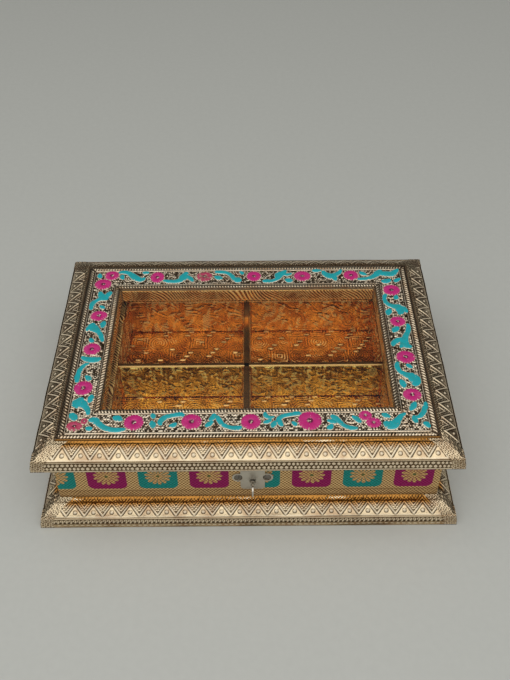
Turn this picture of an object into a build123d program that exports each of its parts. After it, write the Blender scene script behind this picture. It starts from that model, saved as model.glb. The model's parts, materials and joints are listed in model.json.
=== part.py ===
from build123d import *
import os

os.makedirs("parts", exist_ok=True)

# Dry fruit box with a glazed lid. X runs along the length, Y from front to back, Z up.
# The origin is the centre of the base, on the surface that the box stands on.

# Whole box
base_length = 305.0
base_depth = 229.0
overall_height = 77.0
lid_setback = 2.5  # the lid's edge stands this far inside the base's
lid_thickness = 15.75
lid_seat_gap = 0.25  # between the walls and the closed lid

# Mouldings, from the outer edge inward
foil_thickness = 0.5
lip_height = 9.1
lip_lean = 1.5
crease_width = 0.8
crease_depth = 0.6
ramp_swell = 0.5
cove_hollow = 0.5
base_rail_width = 15.0
base_rail_height = 17.5
base_ramp_reach = 10.5
base_ramp_height = 15.0
lid_rail_width = 16.0
lid_ramp_reach = 13.2
lid_ramp_height = 13.75

# Body
panel_thickness = 12.0
wall_thickness = 9.0
ribbon_thickness = 0.6
ribbon_edge_gap = 0.2

# Tray
tray_floor_thickness = 5.5
tray_wall_thickness = 4.0
tray_depth = 34.5
end_rim_width = 22.0
side_rim_width = 14.4
tray_play = 2.2  # each end, so that the tray drops in
tray_rest_gap = 0.1
rim_thickness = 4.0
divider_thickness = 4.2
divider_shift = -0.9
lap_clearance = 0.1

# Lid frame, enamel strips and glass
sheet_thickness = 0.8
bead_rise = 1.0
bead_width = 4.6
band_width = 19.2  # flat enamelled band between the two rope beads
strip_margin = 0.4
glass_thickness = 3.0
glass_clearance = 0.2
glass_bed = 0.05
rabbet_width = 4.5

# Hinges
hinge_length = 28.0
hinge_inset = 52.5  # from the end of the body to the middle of each hinge
knuckle_count = 3
knuckle_radius = 2.1
knuckle_gap = 0.15
pin_radius = 1.0
pin_clearance = 0.05
pin_head_radius = 1.5
pin_head_height = 0.7
leaf_thickness = 0.9
hinge_air = 0.2  # round the turning knuckles
wall_leaf_height = 17.0
lid_leaf_margin = 1.6
hinge_screw_spacing = 16.0

# Screws. They repeat, so they and their holes are drawn with few sides
screw_sides = 12
screw_head_radius = 1.8
screw_shank_radius = 0.95
screw_length = 7.0
screw_fit = 0.05

# Lock plate on the front. Every drop of the lock is measured down from the top of the walls
lock_x = 3.1
plate_thickness = 1.0
plate_width = 17.5
plate_drop = 34.0
plate_corner = 3.0
ear_radius = 4.4
ear_spacing = 20.6
ear_drop = 21.0
pan_head_radius = 2.4
pan_head_height = 1.2
pan_head_bevel = 0.6
plate_screw_tip = 0.4  # past the lock case's sheet

# Lock case, let into the front wall from inside
case_sheet = 0.8
case_depth = 6.3
case_drop = 33.5
case_left = 12.3  # inside, from the key's axis
case_right = 11.3
case_top_gap = 0.2
mortise_clearance = 0.2
cover_thickness = 1.0
cover_ear = 3.9
cover_screw_drop = 17.0
cover_screw_length = 6.0

# Key
key_drop = 26.0
stem_radius = 1.5
stem_clearance = 0.1
bit_reach = 6.0
bit_thickness = 1.6
bit_width = 3.6
keyhole_clearance = 0.4
keyhole_relief = 0.6
bow_radius = 5.0
bow_hole_radius = 2.0
bow_thickness = 1.2
bow_standoff = 1.0
collar_radius = 2.4
collar_length = 1.2

# Bolt and its guide posts
bolt_throw = 5.0
bolt_thickness = 1.8
bolt_drop = 7.0
bolt_head_height = 3.8
shoulder_drop = 20.0
prong_drop = 30.0
prong_width = 2.5
talon_lead = 3.0  # room for the key's bit on the side that it pushes
talon_trail = 7.2
post_radius = 1.2
post_slot_drop = 16.0
post_spacing = 3.7
post_fit = 0.05
slot_end_gap = 0.1
throat_clearance = 0.4

# Strike under the lid
strike_thickness = 1.2
strike_length = 26.0
strike_width = 8.0
loop_thickness = 1.6
loop_width = 3.5
loop_side = 0.7
loop_foot = 1.7
loop_offset = 8.5  # from the key's axis
window_clearance = 0.2
loop_slot_clearance = 0.8
strike_screw_spacing = 17.0
strike_screw_length = 6.0

# Worked out from the above
lid_length = base_length - 2 * lid_setback
lid_depth = base_depth - 2 * lid_setback
lid_underside = overall_height - lid_thickness
board_top = overall_height - bead_rise - sheet_thickness
wall_top = lid_underside - lid_seat_gap
body_length = base_length - 2 * base_rail_width
body_depth = base_depth - 2 * base_rail_width
room_length = body_length - 2 * wall_thickness
room_depth = body_depth - 2 * wall_thickness
wall_face = body_depth / 2
fitting_face = wall_face + ribbon_thickness  # lock plate and hinges lie on the ribbon
floor_top = panel_thickness + tray_floor_thickness
tray_top = floor_top + tray_depth
tray_wall_top = tray_top - rim_thickness
rim_length = room_length - 2 * tray_play
rim_depth = room_depth - 2 * tray_rest_gap
tray_length = rim_length - 2 * end_rim_width  # inside, across both pairs of compartments
tray_width = rim_depth - 2 * side_rim_width
tray_shift = tray_play - tray_rest_gap  # the tray has slid to the right-hand wall
strip_start = lid_rail_width + strip_margin
strip_width = 2 * bead_width + band_width
opening_inset = strip_start + strip_width
rabbet_start = opening_inset - rabbet_width
case_y = -wall_face + wall_thickness - cover_thickness - case_depth
case_top = wall_top - case_top_gap
case_bottom = wall_top - case_drop
plate_bottom = wall_top - plate_drop
ear_height = wall_top - ear_drop
cover_screw_height = wall_top - cover_screw_drop
key_height = wall_top - key_drop
bolt_top = wall_top - bolt_drop
bolt_shoulder = wall_top - shoulder_drop
prong_bottom = wall_top - prong_drop
post_slot_height = wall_top - post_slot_drop

up = Vector(0, 0, 1)
inward = {
    "front": Vector(0, 1, 0),
    "back": Vector(0, -1, 0),
    "left": Vector(1, 0, 0),
    "right": Vector(-1, 0, 0),
}


def save(solid, name):
    solid.label = name
    export_step(solid, f"parts/{name}.step")


def side_frame(side, length, depth, height):
    # A plane across the side's middle, with x inward and y up, half the side's run and its two mitres
    into = inward[side]
    along = into.cross(up)
    run, reach = (length, depth) if side in ("front", "back") else (depth, length)
    edge = into * (-reach / 2) + up * height
    mitres = [Plane(origin=edge + along * (end * run / 2), z_dir=into + along * end) for end in (1, -1)]
    return Plane(origin=edge, x_dir=into, z_dir=along), run / 2, mitres


def countersunk_shapes(plane, spots, length, fit):
    # A head that narrows at 45 degrees to its shank, at each spot
    with BuildPart() as shapes:
        for spot in spots:
            with BuildSketch(plane):
                with Locations(spot):
                    RegularPolygon(screw_head_radius + fit, screw_sides)
            with BuildSketch(plane.offset(screw_shank_radius - screw_head_radius)):
                with Locations(spot):
                    RegularPolygon(screw_shank_radius + fit, screw_sides)
            loft(ruled=True)
        with BuildSketch(plane):
            with Locations(*spots):
                RegularPolygon(screw_shank_radius + fit, screw_sides)
        extrude(amount=-length - fit)
    return shapes.part


def screw_sockets(plane, spots, length):
    return countersunk_shapes(plane, spots, length, screw_fit)


def screw_group(plane, spots, length):
    return countersunk_shapes(plane, spots, length, 0)


def keyhole(plane, clearance):
    # Round hole for the stem with a slot below it for the bit, along a plane whose y is up
    with BuildSketch(plane) as hole:
        Circle(stem_radius + clearance)
        with Locations((0, -(bit_reach + clearance) / 2)):
            Rectangle(bit_thickness + 2 * clearance, bit_reach + clearance)
    return hole.sketch


# Screw places, on the faces that they are driven through
hinge_offset = body_length / 2 - hinge_inset
hinge_pin_y = fitting_face + knuckle_radius + hinge_air
hinge_pin_z = lid_underside - knuckle_radius - hinge_air
wall_leaf_bottom = hinge_pin_z - wall_leaf_height
lid_leaf_edge = lid_depth / 2 - lid_leaf_margin
hinge_centres = {"left": -hinge_offset, "right": hinge_offset}
hinge_screw_x = [
    centre + end * hinge_screw_spacing / 2
    for centre in hinge_centres.values()
    for end in (-1, 1)
]

wall_leaf_plane = Plane(origin=(0, fitting_face + leaf_thickness, 0), x_dir=(-1, 0, 0), z_dir=(0, 1, 0))
wall_leaf_spots = [(-x, wall_leaf_bottom + wall_leaf_height / 3) for x in hinge_screw_x]

lid_leaf_plane = Plane(origin=(0, 0, lid_underside - leaf_thickness), x_dir=(1, 0, 0), z_dir=(0, 0, -1))
lid_leaf_screw_y = (hinge_pin_y + knuckle_radius + lid_leaf_edge) / 2
lid_leaf_spots = [(x, -lid_leaf_screw_y) for x in hinge_screw_x]

lock_plane = Plane(origin=(lock_x, -fitting_face, 0), x_dir=(1, 0, 0), z_dir=(0, -1, 0))
ear_spots = [(-ear_spacing / 2, ear_height), (ear_spacing / 2, ear_height)]
plate_screw_length = case_y + case_sheet + plate_screw_tip + fitting_face + plate_thickness
key_plane = Plane(origin=(lock_x, -fitting_face, key_height), x_dir=(1, 0, 0), z_dir=(0, -1, 0))

case_outer_left = case_left + case_sheet
case_outer_right = case_right + case_sheet
case_middle = lock_x + (case_right - case_left) / 2
case_width = case_outer_left + case_outer_right
cover_width = case_width + 2 * cover_ear
cover_y = case_y + case_depth
cover_plane = Plane(origin=(case_middle, cover_y + cover_thickness, 0), x_dir=(-1, 0, 0), z_dir=(0, 1, 0))
cover_screw_x = (case_width + cover_ear) / 2
cover_spots = [(-cover_screw_x, cover_screw_height), (cover_screw_x, cover_screw_height)]

strike_x = lock_x - loop_offset
bolt_y = case_y + (case_sheet + case_depth) / 2
strike_y = bolt_y + (strike_width - loop_width) / 2
strike_plane = Plane(origin=(strike_x, strike_y, lid_underside), x_dir=(1, 0, 0), z_dir=(0, 0, -1))
strike_spots = [(-strike_screw_spacing / 2, 0), (strike_screw_spacing / 2, 0)]

# Base panel
with BuildPart() as base_panel:
    with BuildSketch():
        Rectangle(body_length, body_depth)
    extrude(amount=panel_thickness)
save(base_panel.part, "base_panel")

# Body walls: front and back run the whole length, the ends fit between them
mortise_width = case_width + 2 * mortise_clearance
mortise_bottom = case_bottom - mortise_clearance
mortise_height = wall_top - mortise_bottom

with BuildPart() as wall_front:
    with BuildSketch(Plane.XY.offset(panel_thickness)):
        with Locations((0, (wall_thickness - body_depth) / 2)):
            Rectangle(body_length, wall_thickness)
    extrude(amount=wall_top - panel_thickness)
    inner_face = Plane(origin=(case_middle, -room_depth / 2, 0), x_dir=(-1, 0, 0), z_dir=(0, 1, 0))
    with BuildSketch(inner_face):
        with Locations((0, mortise_bottom)):
            Rectangle(mortise_width, mortise_height, align=(Align.CENTER, Align.MIN))
    extrude(amount=-cover_thickness - case_depth - mortise_clearance, mode=Mode.SUBTRACT)
    with BuildSketch(inner_face):
        with Locations((0, mortise_bottom)):
            Rectangle(cover_width + 2 * mortise_clearance, mortise_height, align=(Align.CENTER, Align.MIN))
    extrude(amount=-cover_thickness, mode=Mode.SUBTRACT)
    extrude(keyhole(key_plane, keyhole_relief), amount=-wall_thickness, mode=Mode.SUBTRACT)
    with BuildSketch(lock_plane):
        with Locations(*ear_spots):
            RegularPolygon(screw_shank_radius + screw_fit, screw_sides)
    extrude(amount=-wall_thickness, mode=Mode.SUBTRACT)
    add(screw_sockets(cover_plane, cover_spots, cover_screw_length), mode=Mode.SUBTRACT)
save(wall_front.part, "wall_front")

with BuildPart() as wall_back:
    with BuildSketch(Plane.XY.offset(panel_thickness)):
        with Locations((0, (body_depth - wall_thickness) / 2)):
            Rectangle(body_length, wall_thickness)
    extrude(amount=wall_top - panel_thickness)
    add(screw_sockets(wall_leaf_plane, wall_leaf_spots, screw_length), mode=Mode.SUBTRACT)
save(wall_back.part, "wall_back")

for side in ("left", "right"):
    with BuildPart() as wall_end:
        with BuildSketch(Plane.XY.offset(panel_thickness)):
            with Locations(inward[side] * ((wall_thickness - body_length) / 2)):
                Rectangle(wall_thickness, room_depth)
        extrude(amount=wall_top - panel_thickness)
    save(wall_end.part, f"wall_{side}")

# Brocade ribbon round the walls, cut for the key and slit square for the screws
with BuildPart() as brocade_ribbon:
    with BuildSketch(Plane.XY.offset(base_rail_height + ribbon_edge_gap)):
        Rectangle(body_length + 2 * ribbon_thickness, body_depth + 2 * ribbon_thickness)
        Rectangle(body_length, body_depth, mode=Mode.SUBTRACT)
    extrude(amount=wall_top - base_rail_height - 2 * ribbon_edge_gap)
    extrude(keyhole(key_plane, keyhole_relief), amount=-ribbon_thickness, mode=Mode.SUBTRACT)
    for plane, spots in ((lock_plane, ear_spots), (wall_leaf_plane.offset(-leaf_thickness), wall_leaf_spots)):
        with BuildSketch(plane):
            with Locations(*spots):
                Rectangle(2 * (screw_shank_radius + screw_fit), 2 * (screw_shank_radius + screw_fit))
        extrude(amount=-ribbon_thickness, mode=Mode.SUBTRACT)
save(brocade_ribbon.part, "brocade_ribbon")


# Mouldings: a wooden rail under an embossed sheet, mitred at the corners
def moulding(side, length, depth, height, form, skins):
    # The first skin is the depth of the outer surface, a second one is cut away below it
    section, half_run, mitres = side_frame(side, length, depth, height)
    with BuildPart() as piece:
        with BuildSketch(section):
            for skin, mode in zip(skins, (Mode.ADD, Mode.SUBTRACT)):
                lip_top = (lip_lean + skin, lip_height - skin)
                crease = (lip_lean + crease_width + skin, lip_height - crease_depth - skin)
                ramp_top = (form["ramp_reach"] + skin, form["ramp_height"] - skin)
                inner_top = (form["width"], form["height"] - skin)
                with BuildLine():
                    Polyline((skin, 0), lip_top, crease)
                    SagittaArc(crease, ramp_top, ramp_swell)
                    SagittaArc(ramp_top, inner_top, -cove_hollow)
                    Polyline(inner_top, (form["width"], 0), (skin, 0))
                make_face(mode=mode)
        extrude(amount=half_run, both=True)
        for mitre in mitres:
            split(bisect_by=mitre, keep=Keep.BOTTOM)
    return piece.part


base_form = {
    "width": base_rail_width,
    "height": base_rail_height,
    "ramp_reach": base_ramp_reach,
    "ramp_height": base_ramp_height,
}
lid_form = {
    "width": lid_rail_width,
    "height": board_top + sheet_thickness - lid_underside,
    "ramp_reach": lid_ramp_reach,
    "ramp_height": lid_ramp_height,
}
strike_pocket = Plane(origin=strike_plane.origin, z_dir=(0, 0, 1))

lid_place = (lid_length, lid_depth, lid_underside)
base_place = (base_length, base_depth, 0)

for side in inward:
    save(moulding(side, *base_place, base_form, [foil_thickness]), f"base_rail_{side}")
    save(moulding(side, *base_place, base_form, [0, foil_thickness]), f"base_foil_{side}")
    save(moulding(side, *lid_place, lid_form, [0, foil_thickness]), f"lid_foil_{side}")
    with BuildPart() as lid_rail:
        add(moulding(side, *lid_place, lid_form, [foil_thickness]))
        if side == "back":
            add(screw_sockets(lid_leaf_plane, lid_leaf_spots, screw_length), mode=Mode.SUBTRACT)
        if side == "front":
            with BuildSketch(strike_pocket):
                Rectangle(strike_length, strike_width)
            extrude(amount=strike_thickness, mode=Mode.SUBTRACT)
    save(lid_rail.part, f"lid_rail_{side}")

# Lid boards with a rabbet in the top for the glass, and the stamped strips that cover them
for side in inward:
    section, half_run, mitres = side_frame(side, *lid_place)
    board_height = board_top - lid_underside
    with BuildPart() as lid_board:
        with BuildSketch(section):
            with Locations((lid_rail_width, 0)):
                Rectangle(opening_inset - lid_rail_width, board_height, align=Align.MIN)
            with Locations((opening_inset, board_height)):
                Rectangle(rabbet_width, glass_thickness + glass_bed, align=Align.MAX, mode=Mode.SUBTRACT)
        extrude(amount=half_run, both=True)
        for mitre in mitres:
            split(bisect_by=mitre, keep=Keep.BOTTOM)
        if side == "front":
            with BuildSketch(strike_pocket):
                Rectangle(strike_length, strike_width)
            extrude(amount=strike_thickness, mode=Mode.SUBTRACT)
            add(screw_sockets(strike_plane, strike_spots, strike_screw_length), mode=Mode.SUBTRACT)
    save(lid_board.part, f"lid_board_{side}")

    with BuildPart() as enamel_strip:
        with BuildSketch(section):
            with Locations((strip_start, board_height)):
                Rectangle(strip_width, sheet_thickness, align=Align.MIN)
            for bead_start in (strip_start, opening_inset - bead_width):
                with BuildLine():
                    foot = (bead_start, board_height + sheet_thickness)
                    heel = (bead_start + bead_width, board_height + sheet_thickness)
                    SagittaArc(foot, heel, bead_rise)
                    Line(heel, foot)
                make_face()
        extrude(amount=half_run, both=True)
        for mitre in mitres:
            split(bisect_by=mitre, keep=Keep.BOTTOM)
    save(enamel_strip.part, f"enamel_strip_{side}")

with BuildPart() as glass_pane:
    with BuildSketch(Plane.XY.offset(board_top - glass_bed)):
        glass_inset = 2 * (rabbet_start + glass_clearance)
        Rectangle(lid_length - glass_inset, lid_depth - glass_inset)
    extrude(amount=-glass_thickness)
save(glass_pane.part, "glass_pane")

# Tray: floor, walls, a flat rim and two half-lapped dividers
tray_outer_length = tray_length + 2 * tray_wall_thickness
tray_outer_width = tray_width + 2 * tray_wall_thickness

with BuildPart() as tray_floor:
    with BuildSketch(Plane.XY.offset(panel_thickness)):
        with Locations((tray_shift, 0)):
            Rectangle(tray_outer_length, tray_outer_width)
    extrude(amount=tray_floor_thickness)
save(tray_floor.part, "tray_floor")

for side in inward:
    if side in ("front", "back"):
        wall_size = (tray_outer_length, tray_wall_thickness)
        wall_reach = (tray_width + tray_wall_thickness) / 2
        rim_size = (rim_length, side_rim_width)
        rim_reach = (rim_depth - side_rim_width) / 2
    else:
        wall_size = (tray_wall_thickness, tray_width)
        wall_reach = (tray_length + tray_wall_thickness) / 2
        rim_size = (end_rim_width, tray_width)
        rim_reach = (rim_length - end_rim_width) / 2
    with BuildPart() as tray_wall:
        with BuildSketch(Plane.XY.offset(floor_top)):
            with Locations(Vector(tray_shift, 0) - inward[side] * wall_reach):
                Rectangle(*wall_size)
        extrude(amount=tray_wall_top - floor_top)
    save(tray_wall.part, f"tray_wall_{side}")
    with BuildPart() as tray_rim:
        with BuildSketch(Plane.XY.offset(tray_wall_top)):
            with Locations(Vector(tray_shift, 0) - inward[side] * rim_reach):
                Rectangle(*rim_size)
        extrude(amount=rim_thickness)
    save(tray_rim.part, f"tray_rim_{side}")

lap_slot = divider_thickness + 2 * lap_clearance
lap_height = tray_depth / 2

with BuildPart() as long_divider:
    with BuildSketch(Plane.XY.offset(floor_top)):
        with Locations((divider_shift, 0)):
            Rectangle(divider_thickness, tray_width)
    extrude(amount=tray_depth)
    with BuildSketch(Plane.XY.offset(tray_top)):
        with Locations((divider_shift, 0)):
            Rectangle(divider_thickness, lap_slot)
    extrude(amount=-lap_height, mode=Mode.SUBTRACT)
save(long_divider.part, "long_divider")

with BuildPart() as cross_divider:
    with BuildSketch(Plane.XY.offset(floor_top)):
        with Locations((tray_shift, 0)):
            Rectangle(tray_length, divider_thickness)
    extrude(amount=tray_depth)
    with BuildSketch(Plane.XY.offset(floor_top)):
        with Locations((divider_shift, 0)):
            Rectangle(lap_slot, divider_thickness)
    extrude(amount=lap_height, mode=Mode.SUBTRACT)
save(cross_divider.part, "cross_divider")

# Lock plate with two screw ears and the keyhole
with BuildPart() as lock_plate:
    with BuildSketch(lock_plane) as plate_outline:
        with Locations((0, plate_bottom)):
            Rectangle(plate_width, wall_top - plate_bottom - ribbon_edge_gap, align=(Align.CENTER, Align.MIN))
        fillet(plate_outline.vertices().group_by(Axis.Z)[0], plate_corner)
        with Locations(*ear_spots):
            Circle(ear_radius)
        with Locations(*ear_spots):
            RegularPolygon(screw_shank_radius + screw_fit, screw_sides, mode=Mode.SUBTRACT)
    extrude(amount=plate_thickness)
    extrude(keyhole(key_plane, keyhole_clearance), amount=plate_thickness, mode=Mode.SUBTRACT)
save(lock_plate.part, "lock_plate")

with BuildPart() as lock_plate_screws:
    with BuildSketch(lock_plane.offset(plate_thickness)):
        with Locations(*ear_spots):
            RegularPolygon(pan_head_radius, screw_sides)
    extrude(amount=pan_head_height)
    chamfer(lock_plate_screws.edges().group_by(Axis.Y)[0], pan_head_bevel)
    with BuildSketch(lock_plane.offset(plate_thickness)):
        with Locations(*ear_spots):
            RegularPolygon(screw_shank_radius, screw_sides)
    extrude(amount=-plate_screw_length)
save(lock_plate_screws.part, "lock_plate_screws")

# Lock case: a sheet box, open at the back, with two posts that guide the bolt
post_x = [-post_radius - slot_end_gap, post_spacing - post_radius - slot_end_gap]
case_plane = Plane(origin=(lock_x, case_y, 0), x_dir=(-1, 0, 0), z_dir=(0, 1, 0))
case_centre = (lock_x - case_middle, (case_bottom + case_top) / 2)

with BuildPart() as lock_case:
    with BuildSketch(case_plane):
        with Locations(case_centre):
            Rectangle(case_width, case_top - case_bottom)
    extrude(amount=case_depth)
    with BuildSketch(case_plane.offset(case_sheet)):
        with Locations(case_centre):
            Rectangle(case_width - 2 * case_sheet, case_top - case_bottom - 2 * case_sheet)
    extrude(amount=case_depth, mode=Mode.SUBTRACT)
    with BuildSketch(case_plane.offset(case_sheet)):
        with Locations(*[(-x, post_slot_height) for x in post_x]):
            Circle(post_radius)
    extrude(amount=case_depth - case_sheet)
    with BuildSketch(Plane.XY.offset(case_top)):
        with Locations((strike_x, bolt_y)):
            Rectangle(loop_thickness + 2 * loop_slot_clearance, loop_width + 2 * loop_slot_clearance)
    extrude(amount=-case_sheet, mode=Mode.SUBTRACT)
    extrude(keyhole(key_plane, stem_clearance), amount=-wall_thickness, mode=Mode.SUBTRACT)
    with BuildSketch(lock_plane):
        with Locations(*ear_spots):
            RegularPolygon(screw_shank_radius + screw_fit, screw_sides)
    extrude(amount=-case_y - case_sheet - fitting_face, mode=Mode.SUBTRACT)
save(lock_case.part, "lock_case")

with BuildPart() as lock_cover:
    with BuildSketch(Plane(origin=(case_middle, cover_y, 0), x_dir=(-1, 0, 0), z_dir=(0, 1, 0))):
        with Locations((0, case_bottom)):
            Rectangle(cover_width, case_top - case_bottom, align=(Align.CENTER, Align.MIN))
    extrude(amount=cover_thickness)
    with BuildSketch(key_plane):
        Circle(stem_radius + stem_clearance)
    extrude(amount=-wall_thickness - ribbon_thickness, mode=Mode.SUBTRACT)
    add(screw_sockets(cover_plane, cover_spots, cover_screw_length), mode=Mode.SUBTRACT)
save(lock_cover.part, "lock_cover")
save(screw_group(cover_plane, cover_spots, cover_screw_length), "lock_case_screws")

# Bolt: a head that passes the strike's loop, a slot on the posts and two prongs round the key's bit
loop_bottom = bolt_top - bolt_head_height - window_clearance - loop_foot
bolt_left = -talon_lead - prong_width
bolt_right = talon_trail + prong_width
head_left = loop_thickness / 2 + throat_clearance - loop_offset
head_bottom = bolt_top - bolt_head_height
throat = bolt_throw + head_left  # the loop's foot runs in a throat under the head
throat_bottom = loop_bottom - throat_clearance
bolt_plane = Plane(origin=(lock_x, bolt_y - bolt_thickness / 2, 0), x_dir=(-1, 0, 0), z_dir=(0, 1, 0))

with BuildPart() as lock_bolt:
    with BuildSketch(bolt_plane):
        with BuildLine():
            Polyline(
                (-bolt_right, bolt_top),
                (-head_left, bolt_top),
                (-head_left, head_bottom),
                (-throat, head_bottom),
                (-throat, throat_bottom),
                (-bolt_left, throat_bottom),
                (-bolt_left, prong_bottom),
                (talon_lead, prong_bottom),
                (talon_lead, bolt_shoulder),
                (-talon_trail, bolt_shoulder),
                (-talon_trail, prong_bottom),
                (-bolt_right, prong_bottom),
                close=True,
            )
        make_face()
        slot_start = post_x[0] - post_radius - slot_end_gap
        slot_end = post_x[1] + post_radius + slot_end_gap + bolt_throw
        with Locations((-(slot_start + slot_end) / 2, post_slot_height)):
            SlotOverall(slot_end - slot_start, 2 * (post_radius + post_fit), mode=Mode.SUBTRACT)
    extrude(amount=bolt_thickness)
save(lock_bolt.part, "lock_bolt")

# Key, standing in the keyhole with its bit down and its bow upright
bow_centre = plate_thickness + bow_standoff + collar_length + bow_radius
stem_end = fitting_face + cover_y + cover_thickness / 2
bit_start = fitting_face + bolt_y - bit_width / 2
side_plane = Plane(origin=(lock_x, -fitting_face, key_height), x_dir=(0, -1, 0), z_dir=(-1, 0, 0))

with BuildPart() as key:
    with BuildSketch(key_plane.offset(-stem_end)):
        Circle(stem_radius)
    extrude(amount=stem_end + bow_centre - bow_hole_radius - stem_radius / 2)
    with BuildSketch(key_plane.offset(plate_thickness + bow_standoff)):
        Circle(collar_radius)
    extrude(amount=collar_length)
    with BuildSketch(side_plane):
        with Locations((bow_centre, 0)):
            Circle(bow_radius)
            Circle(bow_hole_radius, mode=Mode.SUBTRACT)
    extrude(amount=bow_thickness / 2, both=True)
    with BuildSketch(side_plane):
        with Locations((-bit_start, 0)):
            Rectangle(bit_width, bit_reach, align=Align.MAX)
    extrude(amount=bit_thickness / 2, both=True)
save(key.part, "key")

# Strike: a plate let into the lid, with a loop that hangs into the lock case
with BuildPart() as strike_plate:
    with BuildSketch(strike_plane):
        Rectangle(strike_length, strike_width)
    extrude(amount=-strike_thickness)
    with BuildSketch(Plane(origin=(strike_x, bolt_y, 0), x_dir=(0, 1, 0), z_dir=(1, 0, 0))):
        with Locations((0, loop_bottom)):
            Rectangle(loop_width, lid_underside - loop_bottom, align=(Align.CENTER, Align.MIN))
        with Locations((0, bolt_top - bolt_head_height - window_clearance)):
            Rectangle(
                loop_width - 2 * loop_side,
                bolt_head_height + 2 * window_clearance,
                align=(Align.CENTER, Align.MIN),
                mode=Mode.SUBTRACT,
            )
    extrude(amount=loop_thickness / 2, both=True)
    add(screw_sockets(strike_plane, strike_spots, strike_screw_length), mode=Mode.SUBTRACT)
save(strike_plate.part, "strike_plate")
save(screw_group(strike_plane, strike_spots, strike_screw_length), "strike_screws")

# Butt hinges under the back overhang, with interleaved knuckles
knuckle_pitch = hinge_length / knuckle_count


def hinge_leaf(centre, on_wall):
    leaf_end = centre - hinge_length / 2
    pin_plane = Plane(origin=(leaf_end, hinge_pin_y, hinge_pin_z), x_dir=(0, 1, 0), z_dir=(1, 0, 0))
    leaf_plane = wall_leaf_plane if on_wall else lid_leaf_plane
    sockets = screw_sockets(leaf_plane, wall_leaf_spots if on_wall else lid_leaf_spots, screw_length)
    with BuildPart() as leaf:
        with BuildSketch(pin_plane):
            if on_wall:
                with Locations((fitting_face - hinge_pin_y, -wall_leaf_height)):
                    Rectangle(leaf_thickness, wall_leaf_height, align=Align.MIN)
            else:
                with Locations((0, lid_underside - leaf_thickness - hinge_pin_z)):
                    Rectangle(lid_leaf_edge - hinge_pin_y, leaf_thickness, align=Align.MIN)
        extrude(amount=hinge_length)
        for index in range(knuckle_count):
            if index % 2 == (0 if on_wall else 1):
                with BuildSketch(pin_plane.offset(index * knuckle_pitch)):
                    Circle(knuckle_radius)
                extrude(amount=knuckle_pitch)
            else:
                with BuildSketch(pin_plane.offset(index * knuckle_pitch - knuckle_gap)):
                    Rectangle(2 * (knuckle_radius + hinge_air), 2 * (knuckle_radius + hinge_air))
                extrude(amount=knuckle_pitch + 2 * knuckle_gap, mode=Mode.SUBTRACT)
        with BuildSketch(pin_plane):
            Circle(pin_radius + pin_clearance)
        extrude(amount=hinge_length, mode=Mode.SUBTRACT)
        add(sockets, mode=Mode.SUBTRACT)
    return leaf.part


for side, centre in hinge_centres.items():
    save(hinge_leaf(centre, True), f"hinge_wall_leaf_{side}")
    save(hinge_leaf(centre, False), f"hinge_lid_leaf_{side}")
    head_plane = Plane(origin=(centre + hinge_length / 2, hinge_pin_y, hinge_pin_z), z_dir=(1, 0, 0))
    with BuildPart() as hinge_pin:
        with BuildSketch(head_plane):
            Circle(pin_head_radius)
        extrude(amount=pin_head_height)
        with BuildSketch(head_plane):
            Circle(pin_radius)
        extrude(amount=-hinge_length)
    save(hinge_pin.part, f"hinge_pin_{side}")

save(screw_group(wall_leaf_plane, wall_leaf_spots, screw_length), "hinge_wall_screws")
save(screw_group(lid_leaf_plane, lid_leaf_spots, screw_length), "hinge_lid_screws")
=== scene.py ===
import json
import math
import random

import bmesh
import bpy
import numpy as np
from mathutils import Matrix, Vector


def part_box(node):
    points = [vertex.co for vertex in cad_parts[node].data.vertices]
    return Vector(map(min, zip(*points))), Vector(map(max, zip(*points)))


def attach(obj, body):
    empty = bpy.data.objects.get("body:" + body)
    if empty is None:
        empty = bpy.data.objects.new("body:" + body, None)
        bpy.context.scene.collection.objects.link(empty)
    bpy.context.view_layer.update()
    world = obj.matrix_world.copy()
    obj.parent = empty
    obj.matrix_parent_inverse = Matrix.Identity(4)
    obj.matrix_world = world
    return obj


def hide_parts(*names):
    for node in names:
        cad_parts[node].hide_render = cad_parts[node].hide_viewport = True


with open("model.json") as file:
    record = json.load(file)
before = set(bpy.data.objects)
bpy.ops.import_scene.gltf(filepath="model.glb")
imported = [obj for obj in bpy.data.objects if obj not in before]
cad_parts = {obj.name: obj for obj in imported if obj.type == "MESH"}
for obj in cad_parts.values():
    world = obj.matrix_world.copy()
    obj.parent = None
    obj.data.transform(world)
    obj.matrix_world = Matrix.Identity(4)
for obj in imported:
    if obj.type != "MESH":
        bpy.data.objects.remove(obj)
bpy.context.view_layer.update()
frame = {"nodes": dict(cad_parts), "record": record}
print("frame loaded, sizes below are in millimetres")

lengthwise, depthwise, up = np.eye(3)
# each side's inward direction, and the direction that it runs in
sides = {
    "front": (depthwise, lengthwise),
    "back": (-depthwise, -lengthwise),
    "left": (lengthwise, -depthwise),
    "right": (-lengthwise, depthwise),
}


def bySide(*values):
    return dict(zip(sides, values))


def boxOf(node):
    # lowest and highest corner of a CAD node, in millimetres
    return [np.array(corner) * 1000 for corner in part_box(node)]


def extents(node, side):
    # how far the outer edge of a piece lies from the middle of the box, and half its length
    low, high = boxOf(node)
    inward, along = (np.abs(direction) for direction in sides[side])
    return abs((low if side in ("front", "left") else high) @ inward), (high - low) @ along / 2


# node helpers
def plug(tree, node, sockets):
    for key, value in sockets.items():
        if isinstance(value, Value):
            value = value.socket
        if isinstance(value, bpy.types.NodeSocket):
            tree.links.new(value, node.inputs[key])
        else:
            node.inputs[key].default_value = value


def putNode(tree, kind, sockets=None, **settings):
    node = tree.nodes.new(f"ShaderNode{kind}")
    for key, value in settings.items():
        setattr(node, key, value)
    plug(tree, node, sockets or {})
    return node


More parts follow.
